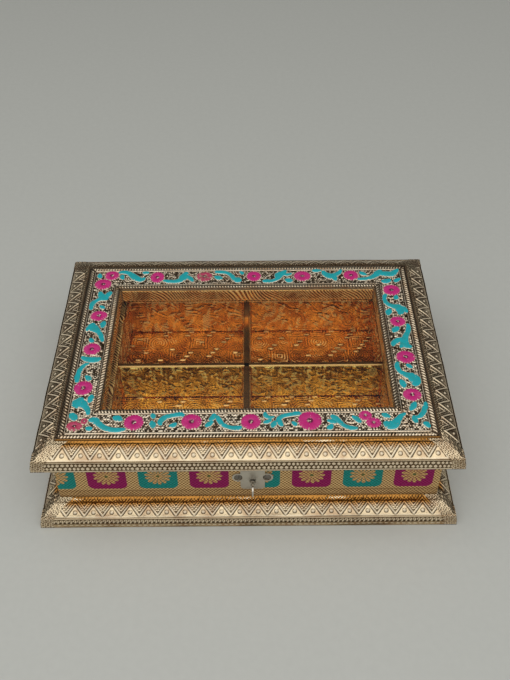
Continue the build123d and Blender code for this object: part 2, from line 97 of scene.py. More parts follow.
class Value:
    # a number in a shader. Arithmetic with it puts Math nodes into its tree
    def __init__(self, tree, socket):
        self.tree, self.socket = tree, socket

    def calc(self, operation, *terms):
        sockets = dict(enumerate((self, *terms)))
        return Value(self.tree, putNode(self.tree, "Math", sockets, operation=operation).outputs[0])

    def __add__(self, other):
        return self.calc("ADD", other)

    def __sub__(self, other):
        return self.calc("SUBTRACT", other)

    def __rsub__(self, other):
        return self.calc("MULTIPLY_ADD", -1.0, other)

    def __mul__(self, other):
        return self.calc("MULTIPLY", other)

    def step(self, low, high):
        # 0 below low, 1 above high
        sockets = {"Value": self, "From Min": low, "From Max": high}
        node = putNode(self.tree, "MapRange", sockets, interpolation_type="SMOOTHSTEP")
        return Value(self.tree, node.outputs[0])

    def mix(self, first, second):
        # from the first colour at 0 to the second at 1
        return putNode(self.tree, "Mix", {0: self, 6: first, 7: second}, data_type="RGBA").outputs[2]

    def noise(self, scale, detail):
        # where this value is a place
        sockets = {"Vector": self, "Scale": scale, "Detail": detail}
        return Value(self.tree, putNode(self.tree, "TexNoise", sockets).outputs[0])


def makeMaterial(name, recipe, *settings, **look):
    # a recipe gives the shader's inputs, where a bump is a height and a distance
    material = bpy.data.materials.new(name)
    material.use_nodes = True
    tree = material.node_tree
    place = Value(tree, putNode(tree, "TexCoord").outputs["Object"])
    sockets = recipe(tree, place, *settings, **look)
    if "Bump" in sockets:
        height, distance = sockets.pop("Bump")
        sockets["Normal"] = putNode(tree, "Bump", {"Height": height, "Distance": distance}).outputs[0]
    plug(tree, tree.nodes["Principled BSDF"], sockets)
    return material


def mark(tree, name, output="Fac"):
    # a value that the mesh carries
    return Value(tree, putNode(tree, "Attribute", attribute_name=name).outputs[output])


def stampedMetal(tree, place, metal, otherMetal, paintedShade, crest, depth, rubAndHighlight, polish, warm=None):
    # grooves and other painted shade turn dark, crests turn bright from rubbing and from painted highlights,
    # a warm tint brings in a painted reflection, and the tint wanders
    if warm:
        metal, otherMetal = (mark(tree, "warm").mix(tone, warm) for tone in (metal, otherMetal))
    # above zero this mark asks for painted shade, below zero for rubbed crests and painted highlights
    hollow = mark(tree, "hollow")
    dark = hollow.step(0.05, 0.85) * depth
    crestAndHighlight = (hollow * -1.0).step(0.1, 0.9)
    rubbedAndHighlit = crestAndHighlight * rubAndHighlight
    wander = place.noise(95.0, 3.0)
    tint = wander.step(0.38, 0.72).mix(metal, otherMetal)
    colour = rubbedAndHighlit.mix(dark.mix(tint, paintedShade), crest)
    rough = (dark * 0.4).calc("MAXIMUM", crestAndHighlight) * 0.25 + polish + wander * 0.08
    grit = place.noise(900.0, 2.0)
    return {"Base Color": colour, "Roughness": rough, "Metallic": 1.0 - rubbedAndHighlit, "Bump": (grit, 0.00005)}


def drawnMetal(tree, place, metal, polish, stretch):
    # fine scratches along one direction on plated or pressed metal
    drawn = putNode(tree, "VectorMath", {0: place, 1: stretch}, operation="MULTIPLY").outputs[0]
    lines = Value(tree, drawn).noise(800.0, 4.0)
    wearAndGlint = place.noise(120.0, 3.0).step(0.45, 0.75)
    colour = (wearAndGlint * 0.3).mix(metal, (0.28, 0.26, 0.23, 1))
    rough = lines * 0.15 + polish + wearAndGlint * 0.15
    return {"Base Color": colour, "Roughness": rough, "Metallic": 1.0, "Bump": (lines, 0.00004)}


def enamelPaint(tree, place, paint, shade, bare, bareShare):
    # glassy paint whose tone flows, and which leaves metal bare in places
    flow = place.noise(260.0, 3.0)
    gaps = place.noise(420.0, 2.0).step(1 - bareShare, 1.08 - bareShare)
    pool = mark(tree, "hollow").step(0.3, 0.9)
    deep = tuple(0.35 * tone for tone in shade[:3]) + (1,)
    colour = gaps.mix((flow.step(0.4, 0.75) * 0.5).mix(paint, shade), bare)
    return {"Base Color": pool.mix(colour, deep), "Metallic": gaps * 0.8, "Roughness": flow * 0.3 + 0.2,
            "Coat Weight": 0.2, "Bump": (flow, 0.0002)}


def fibreBoard(tree, place, pale, dark):
    fibres = place.noise(1400.0, 5.0)
    share = fibres * 0.6 + place.noise(40.0, 3.0) * 0.4
    return {"Base Color": share.mix(pale, dark), "Roughness": fibres * 0.2 + 0.65, "Bump": (fibres, 0.0001)}


# rounded squares that change colour, each with a daisy, between two braided borders
brocade = {
    "pitch": 36.7,
    "firstSquare": -28.05,
    "squareHalf": (14.1, 12.4),
    "cornerRadius": 5.0,
    "middleHeight": 39.6,
    "daisyLift": 1.4,
    "petals": 13,
    "petalRoot": 5.2,
    "petalReach": 4.3,
    "heart": (2.6, 3.6),
    "eyeRadius": 1.3,
    "borderLow": 24.6,
    "borderHigh": 54.2,
    "borderLines": (19.4, 24.9, 57.2),
    "lineWidth": (0.3, 0.7),
    "braidPitch": 3.2,
    "twillPitch": (2.7, 2.9),
    "pitchesRound": 40,  # more than go round the box, which keeps the modulo's input above zero
}


def brocadeFigure(along, height):
    pitch, radius = brocade["pitch"], brocade["cornerRadius"]

    def within(distance, blur=0.2):
        return 1.0 - distance.step(-blur, blur)

    def chequer(across, upward):
        # a product of two sines with these pitches
        return (along * (math.tau / across)).calc("SINE") * (height * (math.tau / upward)).calc("SINE")

    moved = along - (brocade["firstSquare"] - pitch / 2)
    other = moved.calc("DIVIDE", pitch).calc("FLOOR").calc("PINGPONG", 1.0)
    x = (moved + brocade["pitchesRound"] * pitch).calc("MODULO", pitch) - pitch / 2
    y = height - brocade["middleHeight"]
    qx, qy = (place.calc("ABSOLUTE") - (half - radius) for place, half in zip((x, y), brocade["squareHalf"]))
    px, py = qx.calc("MAXIMUM", 0.0), qy.calc("MAXIMUM", 0.0)
    edge = (px * px + py * py).calc("SQRT") + qx.calc("MAXIMUM", qy).calc("MINIMUM", 0.0)
    y = y - brocade["daisyLift"]
    reach = (x * x + y * y).calc("SQRT")
    lobe = (y.calc("ARCTAN2", x) * (brocade["petals"] / 2)).calc("COSINE").calc("ABSOLUTE").calc("POWER", 0.5)
    flower = within(reach - (lobe * brocade["petalReach"] + brocade["petalRoot"]))
    daisy = flower * lobe.step(0.38, 0.62).calc("MAXIMUM", 1.0 - reach.step(*brocade["heart"]))
    border = (brocade["borderLow"] - height).calc("MAXIMUM", height - brocade["borderHigh"]).step(-0.2, 0.2)
    braid = border * (1.0 - chequer(brocade["braidPitch"], brocade["braidPitch"]).step(-0.5, 0.1))
    for line in brocade["borderLines"]:
        away = (height - line).calc("ABSOLUTE")
        braid = braid.calc("MAXIMUM", 1.0 - away.step(*brocade["lineWidth"]))
    weave = chequer(*brocade["twillPitch"]).step(-0.45, 0.3)
    return within(edge - radius, 0.25), other, daisy, within(reach - brocade["eyeRadius"]), braid, weave


def brocadeCloth(tree, place):
    spot = putNode(tree, "SeparateXYZ", {0: mark(tree, "spot", "Vector")}).outputs
    square, other, daisy, eye, braid, weave = brocadeFigure(Value(tree, spot[0]), Value(tree, spot[1]))
    gold = weave.mix((0.28, 0.145, 0.05, 1), (0.86, 0.60, 0.28, 1))
    petal = weave.mix((0.42, 0.22, 0.08, 1), (0.80, 0.52, 0.22, 1))
    dyeShade = other.mix((0.2, 0.008, 0.06, 1), (0.008, 0.17, 0.15, 1))
    dye = weave.mix(dyeShade, other.mix((0.34, 0.012, 0.13, 1), (0.012, 0.29, 0.25, 1)))
    bareSquare = square * (1.0 - daisy)
    colour = bareSquare.mix(daisy.mix(gold, petal), dye)
    colour = eye.mix(colour, (0.14, 0.17, 0.06, 1))
    colour = (braid * 0.7).mix(colour, (0.15, 0.06, 0.015, 1))
    thread = 1.0 - bareSquare.calc("MAXIMUM", braid)
    return {"Base Color": colour, "Metallic": thread * 0.5, "Roughness": weave * -0.15 + 0.6,
            "Specular IOR Level": 0.15, "Bump": (weave * 0.5 + daisy * 0.7, 0.0003)}


def clearGlass(tree, place):
    # lets lamp light through, so that what lies under it stays lit
    dust = place.noise(30.0, 6.0).step(0.45, 0.9)
    see = putNode(tree, "BsdfTransparent", {"Color": (0.95, 0.97, 0.96, 1)})
    ray = putNode(tree, "LightPath").outputs
    passes = Value(tree, ray["Is Shadow Ray"]).calc("MAXIMUM", ray["Is Diffuse Ray"])
    shader = tree.nodes["Principled BSDF"]
    both = putNode(tree, "MixShader", {0: passes, 1: shader.outputs[0], 2: see.outputs[0]})
    plug(tree, tree.nodes["Material Output"], {"Surface": both.outputs[0]})
    return {"Base Color": (0.97, 0.99, 0.98, 1), "Roughness": dust * 0.05, "IOR": 1.45,
            "Transmission Weight": 1.0}


# each foil's shade colour goes into grooves and other painted shade, its crest colour onto rubbed crests and
# painted highlights, and its warm colour is a warm tone and a painted reflection
foilLooks = {
    "champagneFoil": {
        "metal": (0.66, 0.54, 0.35, 1), "otherMetal": (0.44, 0.31, 0.19, 1), "warm": (0.42, 0.19, 0.04, 1),
        "paintedShade": (0.05, 0.028, 0.012, 1), "crest": (0.95, 0.83, 0.62, 1),
        "depth": 0.9, "rubAndHighlight": 0.62, "polish": 0.13,
    },
    "stripMetal": {
        "metal": (0.76, 0.64, 0.46, 1), "otherMetal": (0.62, 0.44, 0.27, 1), "warm": (0.42, 0.20, 0.05, 1),
        "paintedShade": (0.06, 0.036, 0.02, 1), "crest": (0.94, 0.86, 0.72, 1),
        "depth": 0.94, "rubAndHighlight": 0.45, "polish": 0.16,
    },
    "copperFoil": {
        "metal": (0.84, 0.45, 0.14, 1), "otherMetal": (0.58, 0.23, 0.06, 1), "paintedShade": (0.14, 0.045, 0.012, 1),
        "crest": (1.0, 0.62, 0.22, 1), "depth": 0.7, "rubAndHighlight": 0.9, "polish": 0.08,
    },
    "amberFoil": {
        "metal": (0.92, 0.72, 0.22, 1), "otherMetal": (0.66, 0.44, 0.10, 1), "paintedShade": (0.18, 0.11, 0.02, 1),
        "crest": (1.0, 0.74, 0.22, 1), "depth": 0.7, "rubAndHighlight": 0.9, "polish": 0.08,
    },
}
champagne, stripMetal, copperFoil, amberFoil = (
    makeMaterial(name, stampedMetal, **look) for name, look in foilLooks.items())
enamelLooks = {
    "pinkEnamel": ((0.60, 0.018, 0.20, 1), (0.40, 0.01, 0.14, 1), (0.5, 0.4, 0.3, 1), 0.1),
    "tealEnamel": ((0.008, 0.41, 0.46, 1), (0.03, 0.29, 0.24, 1), (0.4, 0.45, 0.35, 1), 0.05),
    "fadedEnamel": ((0.52, 0.05, 0.12, 1), (0.3, 0.02, 0.08, 1), (0.55, 0.42, 0.3, 1), 0.45),
}
pinkEnamel, tealEnamel, fadedEnamel = (
    makeMaterial(name, enamelPaint, *look) for name, look in enamelLooks.items())
nickel = makeMaterial("satinNickel", drawnMetal, (0.58, 0.54, 0.46, 1), 0.24, (1, 1, 12))
steel = makeMaterial("pressedSteel", drawnMetal, (0.5, 0.5, 0.5, 1), 0.35, (12, 1, 1))
# darker than the plate's nickel, as painted shade on the lock plate's screw heads
paintedShadeSteel = makeMaterial("paintedShadeSteel", drawnMetal, (0.20, 0.18, 0.15, 1), 0.12, (12, 1, 1))
brass = makeMaterial("brassPlate", drawnMetal, (0.72, 0.5, 0.22, 1), 0.3, (1, 12, 12))
board = makeMaterial("fibreBoard", fibreBoard, (0.42, 0.27, 0.14, 1), (0.24, 0.14, 0.07, 1))
cloth = makeMaterial("brocadeCloth", brocadeCloth)
glass = makeMaterial("clearGlass", clearGlass)
print("finishes ready")


# mesh helpers
def putObject(name, data):
    piece = bpy.data.objects.new(name, data)
    bpy.context.scene.collection.objects.link(piece)
    return piece


def joinParts(parts):
    points, faces, smooth, marks = zip(*parts)
    starts = np.cumsum([0] + [len(some) for some in points]).tolist()
    faces = [[corner + start for corner in face] for start, some in zip(starts, faces) for face in some]
    smooth = [flag for some in smooth for flag in some]
    marks = {key: np.concatenate([some[key] for some in marks]) for key in marks[0]}
    return np.concatenate(points), faces, smooth, marks


def finishPiece(name, parts, body, slot, material, *replaced):
    # each part is (points, faces, smooth, marks)
    points, faces, smooth, marks = joinParts(parts)
    mesh = bpy.data.meshes.new(name)
    mesh.from_pydata((points * 0.001).tolist(), [], faces)
    mesh.polygons.foreach_set("use_smooth", smooth)
    for key, values in marks.items():
        kind, field = ("FLOAT_VECTOR", "vector") if values.ndim == 2 else ("FLOAT", "value")
        mesh.attributes.new(key, kind, "POINT").data.foreach_set(field, values.astype(np.float32).ravel())
    work = bmesh.new()
    work.from_mesh(mesh)
    bmesh.ops.recalc_face_normals(work, faces=work.faces)
    work.to_mesh(mesh)
    work.free()
    mesh.materials.append(material)
    piece = putObject(name, mesh)
    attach(piece, body)
    if replaced:
        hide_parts(*replaced)
    return piece


def numbers(shape, start=0):
    return start + np.arange(math.prod(shape)).reshape(shape)


def quadsOf(index):
    # the faces of a grid of point numbers
    corners = [index[:-1, :-1], index[1:, :-1], index[1:, 1:], index[:-1, 1:]]
    return np.stack(corners, axis=-1).reshape(-1, 4).tolist()


def placed(directions, amounts):
    # points at these amounts along three directions
    return sum(np.multiply.outer(amount, direction) for amount, direction in zip(amounts, directions))


def closedSheet(top, back, marks):
    # a fine grid and a coarse back of two rows, closed along the four edges
    index = numbers(top.shape[:2])
    under = numbers(back.shape[:2], index.size)
    faces = quadsOf(index)
    smooth = [True] * len(faces)
    faces += quadsOf(under)
    faces += [index[:, k].tolist() + under[::-1, k].tolist() for k in (0, -1)]
    faces += [index[k].tolist() + under[k][::-1].tolist() for k in (0, -1)]
    smooth += [False] * (len(faces) - len(smooth))
    marks = {key: np.append(values, np.zeros(under.size)) for key, values in marks.items()}
    return np.concatenate([top.reshape(-1, 3), back.reshape(-1, 3)]), faces, smooth, marks


def shellFaces(rings, steps):
    # faces of a tip, rings of points under it and a flat cap, and which of them are smooth
    index = numbers((rings, steps), 1)
    faces = [[0, 1 + k, 1 + (k + 1) % steps] for k in range(steps)]
    faces += quadsOf(np.hstack([index, index[:, :1]]))
    return faces + [index[-1][::-1].tolist()], [True] * len(faces) + [False]


def ridge(distance, centre, width):
    return np.clip(1 - ((distance - centre) / width) ** 2, 0, 1)


def dome(distance, radius=1.0):
    return np.sqrt(np.clip(1 - (distance / radius) ** 2, 0, 1))


def ease(value, low, high):
    share = np.clip((value - low) / (high - low), 0, 1)
    return share * share * (3 - 2 * share)


def swing(value, pitch):
    return 0.5 + 0.5 * np.cos(math.tau * value / pitch)


def repeat(value, pitch, phase=0.0):
    # distance to the nearest copy, with its sign
    return (value - phase + pitch / 2) % pitch - pitch / 2


def chance(value):
    # an even spread from 0 to 1 that looks random
    value = np.sin(value) * 43758.5453
    return value - np.floor(value)


def hollowOf(relief, reach, depth):
    # how far each point lies below its surroundings, and below zero for crests
    around = relief
    window = 2 * reach + 1
    for _ in ("along", "across"):
        total = np.cumsum(np.pad(around, [(reach + 1, reach), (0, 0)], mode="edge"), axis=0)
        around = (total[window:] - total[:-window]).T / window
    return np.clip((around - relief) / depth, -1, 1)


def waves(a, b, seed, scales, turns=9):
    # smooth noise from a few cosines
    dice = np.random.default_rng(seed)
    out = 0 * a
    for _ in range(turns):
        ka, kb = dice.normal(0, 1, 2)
        out = out + np.cos(ka * a * scales[0] + kb * b * scales[1] + dice.uniform(0, math.tau))
    return out / math.sqrt(turns / 2)


def mitreLattice(half, depths, taper):
    # places along a mitred piece: evenly spaced, but drawn in near its ends to follow the mitres
    even = np.linspace(-half, half, int(round(2 * half / stamping["step"])) + 1)[:, None]
    steady = half - taper
    past = np.clip(np.abs(even) - steady, 0, None)
    return np.sign(even) * (np.minimum(np.abs(even), steady) + past * (half - depths - steady) / taper)


# mouldings: a lip, a ramp stamped with triangles and a dotted cove
lidMoulding = {
    "body": "lid",
    "corners": [(0, 0), (1.5, 9.1), (2.3, 8.5), (13.2, 13.75), (16.0, 14.75)],
    "pitch": 12.9,
    "dotAt": 1.5,
    "tall": 10.0,
    "lip": "braid",
    "lipShade": 0.35,
    # how strongly each side takes the warm painted reflection
    "reflectionWarmth": bySide(1.0, 0.4, 0.2, 0.2),
}
baseMoulding = {
    "body": "box",
    "corners": [(0, 0), (1.5, 9.1), (2.3, 8.5), (10.5, 15.0), (15.0, 17.5)],
    "pitch": 13.35,
    "dotAt": 6.95,
    "tall": 9.0,
    "lip": "loops",
    "lipShade": -0.25,
    # how strongly each side takes the warm painted reflection
    "reflectionWarmth": bySide(1.0, 1.0, 1.0, 1.0),
}
stamping = {"step": 0.5, "dent": 0.09, "skin": 0.5, "swells": (0, 0, 0.5, -0.5), "cornerZone": 9.0,
            "taper": 30.0, "grooveReach": 3, "grooveDepth": 0.17}


def profileOf(corners):
    # points along a section: place, outward direction, stretch and distance gone. Then the ramp's foot
    samples = []
    gone = 0.0
    for stretch, (start, end, swell) in enumerate(zip(corners, corners[1:], stamping["swells"])):
        start, end = np.array(start, float), np.array(end, float)
        span = np.linalg.norm(end - start)
        out = np.array([-(end - start)[1], (end - start)[0]]) / span
        count = max(2, round(span / stamping["step"]))
        for k in range(stretch > 0, count + 1):
            share = k / count
            point = start + (end - start) * share + out * swell * 4 * share * (1 - share)
            lean = (end - start) / span + out * swell * 4 * (1 - 2 * share) / span
            lean /= np.linalg.norm(lean)
            samples.append((*point, -lean[1], lean[0], stretch, gone + span * share))
        gone += span
        if stretch == 1:
            foot = gone
    return *np.array(samples).T, foot


def braidLip(s, v):
    # staggered rows of pierced beads between two rails
    height = 0.28 * (ridge(v, 8.3, 0.5) + ridge(v, 0.8, 0.5))
    for number, centre in enumerate((6.1, 3.1)):
        bead = np.hypot(repeat(s + 0.4 * np.sin(0.37 * s), 3.1, 1.55 * number), v - centre)
        height = np.maximum(height, 0.6 * dome(bead, 1.2) - 0.35 * dome(bead, 0.5))
    return height


def loopLip(s, v):
    # a row of open loops with a tail, over faint leaning dashes
    x = repeat(s, 3.1)
    loop = 0.5 * ridge(np.hypot(x, v - 6.2), 0.95, 0.5) * (np.abs(x + 0.7) + (v - 5.4) > 0.4)
    tail = 0.42 * ridge(x - 0.75 * (v - 4.6), 0.6, 0.42) * ease(v, 3.7, 4.2) * (1 - ease(v, 5.4, 5.8))
    dash = np.hypot(np.maximum(np.abs(repeat(s + 1.4 * (v - 2.2), 4.2)) - 1.0, 0), v - 2.2)
    height = np.maximum(np.maximum(loop, tail), 0.14 * ridge(dash, 0, 0.5))
    return np.maximum(height, 0.2 * ridge(v, 8.5, 0.45))


def triangleFigure(s, t, form):
    # plain triangles with a round stud, and round them nested lines with rows of beads
    tall, pitch = form["tall"], form["pitch"]
    x = repeat(s, pitch, form["dotAt"])
    rise = (t - 1.1) / tall
    slope = math.hypot(tall, pitch / 2)
    edge = ((1 - rise) * pitch / 2 - np.abs(x)) * tall / slope
    beads = swing(rise * slope, 1.6)
    height = 0.62 * ridge(edge, -0.2, 0.75)
    for away, width, crest in ((-1.95, 0.65, beads), (-3.6, 0.6, 1), (-5.2, 0.65, beads), (-6.7, 0.6, beads)):
        height = np.maximum(height, 0.52 * ridge(edge, away, width) * crest)
    stud = np.hypot(x, (rise - 0.3) * tall)
    plain = 0.2 * ease(edge, 0.9, 1.3) * ease(stud, 1.5, 1.9)
    height = np.maximum(height, np.maximum(plain, 0.62 * dome(stud, 1.3)))
    height = np.where(rise > -0.04, height, 0)
    return np.maximum(height, 0.36 * ridge(t, 0.6, 0.55))


def coveFigure(s, t, form, span):
    # the beaded lines run out into fine dots
    dots = np.clip(np.cos(math.tau * s / 2.4) * np.cos(math.tau * t / 2.2), 0, 1)
    fade = ease(span - t, 0.5, 3.5)
    height = np.maximum(0.42 * dots, 0.8 * triangleFigure(s, t, form) * fade)
    return height * ease(span - t, 0.0, 0.5)


def cornerFigure(e, v):
    # small rings and beads that both sides share where they meet
    row = np.round(v / 3.0)
    across = repeat(e, 3.6, 1.8 * (row % 2))
    ring = np.hypot(across, v - 3.0 * row)
    return np.maximum(0.5 * ridge(ring, 1.3, 0.5), 0.45 * dome(ring, 0.55))


def buildMoulding(kind, side, form):
    # s runs along the piece, v up its section, t up from the ramp's foot and e in from the mitre
    name, node = f"{kind}_moulding_{side}", f"{kind}_foil_{side}"
    edge, half = extents(node, side)
    ground, reflectionWarmth = boxOf(node)[0][2], form["reflectionWarmth"][side]
    u, z, outU, outZ, stretch, v, foot = profileOf(form["corners"])
    s = mitreLattice(half, u, stamping["taper"])
    t = v - foot
    relief = np.zeros_like(s)
    lip, ramp, cove = stretch == 0, stretch == 2, stretch == 3
    lipFigure = braidLip if form["lip"] == "braid" else loopLip
    relief[:, lip] = lipFigure(s[:, lip], v[lip])
    relief[:, ramp] = triangleFigure(s[:, ramp], t[ramp], form)
    relief[:, cove] = coveFigure(s[:, cove], t[cove], form, t[-1])
    e = half - u - np.abs(s)
    relief = relief + stamping["dent"] * waves(s, v + 0 * s, len(name), (0.16, 0.3))
    blend = ease(e, stamping["cornerZone"], stamping["cornerZone"] + 0.8)
    relief = relief * blend + cornerFigure(e, v) * (1 - blend)
    relief *= ease(np.minimum(v, v[-1] - v), 0.0, 0.7)
    hollow = hollowOf(relief, stamping["grooveReach"], stamping["grooveDepth"])
    # painted shade along the top of the lid's lip, and painted light there on the base's
    hollow = np.where(lip, 1.6 * hollow + form["lipShade"] * ease(v, 4.5, 8.5), hollow)
    # in the cove grooves deepen, and crests fade where the warm painted reflection is strong
    hollow = np.where(cove, np.where(hollow > 0, 1.4, 1 - 0.75 * reflectionWarmth) * hollow, hollow)
    # the warm tint: a painted reflection up into the cove, stronger on some sides, over a faint warm tone
    # everywhere that is stronger on the lips
    warm = ease(t, 0.5 * t[cove][0], t[cove][0] - 0.3) * blend * reflectionWarmth
    warm = np.maximum(warm, 0.06 + 0.22 * lip)
    hollow = np.where((hollow < 0) & ~lip, hollow * (1 - 0.85 * warm), hollow)
    hollow = np.clip(hollow + 0.4 * (1 - blend), -1, 1)
    depth = np.maximum(u + outU * relief, 0.02)
    s = mitreLattice(half, depth, stamping["taper"])
    directions = (*sides[side], up)
    top = placed(directions, (depth - edge, s, ground + z + outZ * relief))
    skin, last = stamping["skin"], form["corners"][-1]
    inner = [(a + skin, max(b - skin, 0)) for a, b in form["corners"][:-1]] + [(last[0], last[1] - skin)]
    a, b = np.array(inner).T
    back = placed(directions, (a - edge, np.outer((-1, 1), half - a), ground + b))
    sheet = closedSheet(top, back, {"hollow": hollow, "warm": warm})
    finishPiece(name, [sheet], form["body"], "gold_foil", champagne, node)


for side in sides:
    buildMoulding("lid", side, lidMoulding)
    buildMoulding("base", side, baseMoulding)
print("mouldings stamped")


# enamelled strips: a beaded flat band between two ropes
strip = {
    "rope": bySide(3.3, 3.3, 4.5, 4.5),
    "ropePitch": bySide(2.3, 2.3, 2.8, 2.8),
    "ropeLean": bySide(0.7, 0.7, 1.7, 1.7),
    # painted shade on the rope's foot, and how fast it turns to painted highlight with height; the left and
    # right ropes take more painted shade
    "ropeShade": bySide((1.05, 2.0), (1.3, 2.0), (3.3, 4.0), (3.3, 4.0)),
    "ropeRise": 1.0,
    "ropeAt": (-10.9, 12.2),
    "lineAt": (-8.4, 9.8),
    "lineWidth": 0.62,
    "band": 19.2,
    "edge": 4.6,
    "grain": 2.0,
    "taper": 62.0,
}
stripTop = boxOf("enamel_strip_front")[1][2] - strip["ropeRise"]
bandMiddle = strip["edge"] + strip["band"] / 2


def stripRelief(s, w, side):
    # w runs from the outer edge (negative) to the opening
    grain, rope = strip["grain"], strip["rope"][side]
    lean, pitch = strip["ropeLean"][side], strip["ropePitch"][side]
    row = np.round(w / (0.8 * grain))
    across = s - 0.5 * grain * (row % 2)
    cell = np.round(across / grain)
    dice = chance(cell * 12.9898 + row * 78.233)
    size = 0.25 + 0.7 * dice
    grains = np.hypot(across - grain * cell - 0.6 * (dice - 0.5), w - 0.8 * grain * row)
    height = (0.2 + 0.4 * dice) * dome(grains / size)
    curl = np.hypot(repeat(s + 0.6 * np.sin(0.21 * s), 9.1), repeat(w + 0.5 * np.sin(0.33 * s), 8.2, 2.0))
    height = np.maximum(height, 0.5 * ridge(curl, 2.9, 0.5) * (dice > 0.25))
    low, high = strip["lineAt"]
    height = np.where((w > low + 0.7) & (w < high - 0.7), height, 0)
    for at in strip["lineAt"]:
        height = np.maximum(height, 0.55 * ridge(w, at, strip["lineWidth"]))
    for end, at in zip((-1, 1), strip["ropeAt"]):
        t = (w - at) / (rope / 2)
        strand = repeat(s + end * lean * t, pitch) / (0.38 * pitch)
        height = np.maximum(height, strip["ropeRise"] * dome(t) * dome(strand))
    dots = 0.5 + 0.5 * np.cos(math.tau * s / 2.4) * np.cos(math.tau * w / 2.0)
    return np.where(w < strip["ropeAt"][0] - rope / 2 - 0.2, 0.2 * dots, height)


def buildStrip(side):
    node = f"enamel_strip_{side}"
    edge, half = extents(node, side)
    wide, rope = strip["band"] / 2 + strip["edge"], strip["rope"][side]
    w = np.linspace(-wide, wide, int(round(2 * wide / stamping["step"])) + 1)
    s = mitreLattice(half, bandMiddle + w, strip["taper"])
    w = w + 0 * s
    relief = stripRelief(s, w, side) * ease(np.minimum(w + wide, wide - w), 0, 0.25)
    e = half - bandMiddle - w - np.abs(s)
    relief = np.where(e < 0.7, np.minimum(relief, 0.25), relief)  # a plain seam on the mitre
    shade = np.clip(0.9 - relief / 0.16, -1, 1)  # painted shade on all of the bare ground, painted highlights on raised lines and grains
    hollow = np.maximum(hollowOf(relief, 3, 0.22), shade)
    ropeEdge, reflectionWarmth = strip["ropeAt"][0] - rope / 2, lidMoulding["reflectionWarmth"][side]
    warm = 1 - ease(w, ropeEdge - 0.3, ropeEdge)
    # outside the outer rope: a warm painted reflection, and painted shade over the dots on sides with less of
    # it
    hollow = np.where(warm > 0.5, 0.35 + (0.55 - 5.0 * relief) * (1 - reflectionWarmth), hollow)
    foot, slope = strip["ropeShade"][side]
    # the ropes: painted shade, with painted highlights along the strands' tops
    for at in strip["ropeAt"]:
        inRope = np.abs(w - at) < rope / 2 + 0.2
        hollow = np.where(inRope, np.clip(foot - slope * relief, -0.25, 1), hollow)
    directions = (*sides[side], up)
    top = placed(directions, (bandMiddle + w - edge, s, stripTop + relief))
    a = bandMiddle + np.array([-wide, wide])
    back = placed(directions, (a - edge, np.outer((-1, 1), half - a), boxOf(node)[0][2]))
    sheet = closedSheet(top, back, {"hollow": hollow, "warm": warm * reflectionWarmth})
    finishPiece(f"rope_edged_strip_{side}", [sheet], "lid", "enamelled_metal", stripMetal, node)


for side in sides:
    buildStrip(side)
print("strips stamped")


# raised enamel on the strips, seen from above. Flowers are x, y and their half widths
enamel = {"foot": -0.05, "leafRise": 0.62, "leafSpread": 0.3, "rimRise": 0.46, "rimSpread": 0.42,
          "flowerRise": 0.72, "petalWidth": 2.1, "pearlRadius": 0.5, "pearlRise": 0.62}
flowers = [
    (-80.2, -79.9, 7.1, 7.4), (-39.6, -79.6, 7.5, 7.4), (2.2, -80, 7.2, 7.4), (43.8, -79.4, 8.6, 9),
    (83.3, -75, 4.8, 4.8), (88.4, -81.8, 5.6, 5),
    (-75.3, 81.5, 5.9, 7.2), (5.4, 82, 6.2, 6.6), (45.9, 81.8, 7.2, 6.6), (86.6, 82.4, 6.4, 6.6),
    (-119.6, 73, 7.2, 6.8), (-113.6, 84.2, 6, 6.2),
    (-118.4, 33.6, 7, 6.1), (-119.2, -4.8, 6.8, 6.6), (-120.2, -46, 7.1, 7.4),
    (118.2, 62.8, 7.2, 6.8), (118.6, 24.2, 6.2, 6), (119.6, -16, 7.4, 6.8), (119.2, -55.2, 7, 6.4),
]
fadedFlowers = [(-36, 82, 6.9, 6.4), (-121.6, -83, 5.8, 4.8), (-115.4, -78.4, 2.6, 3)]
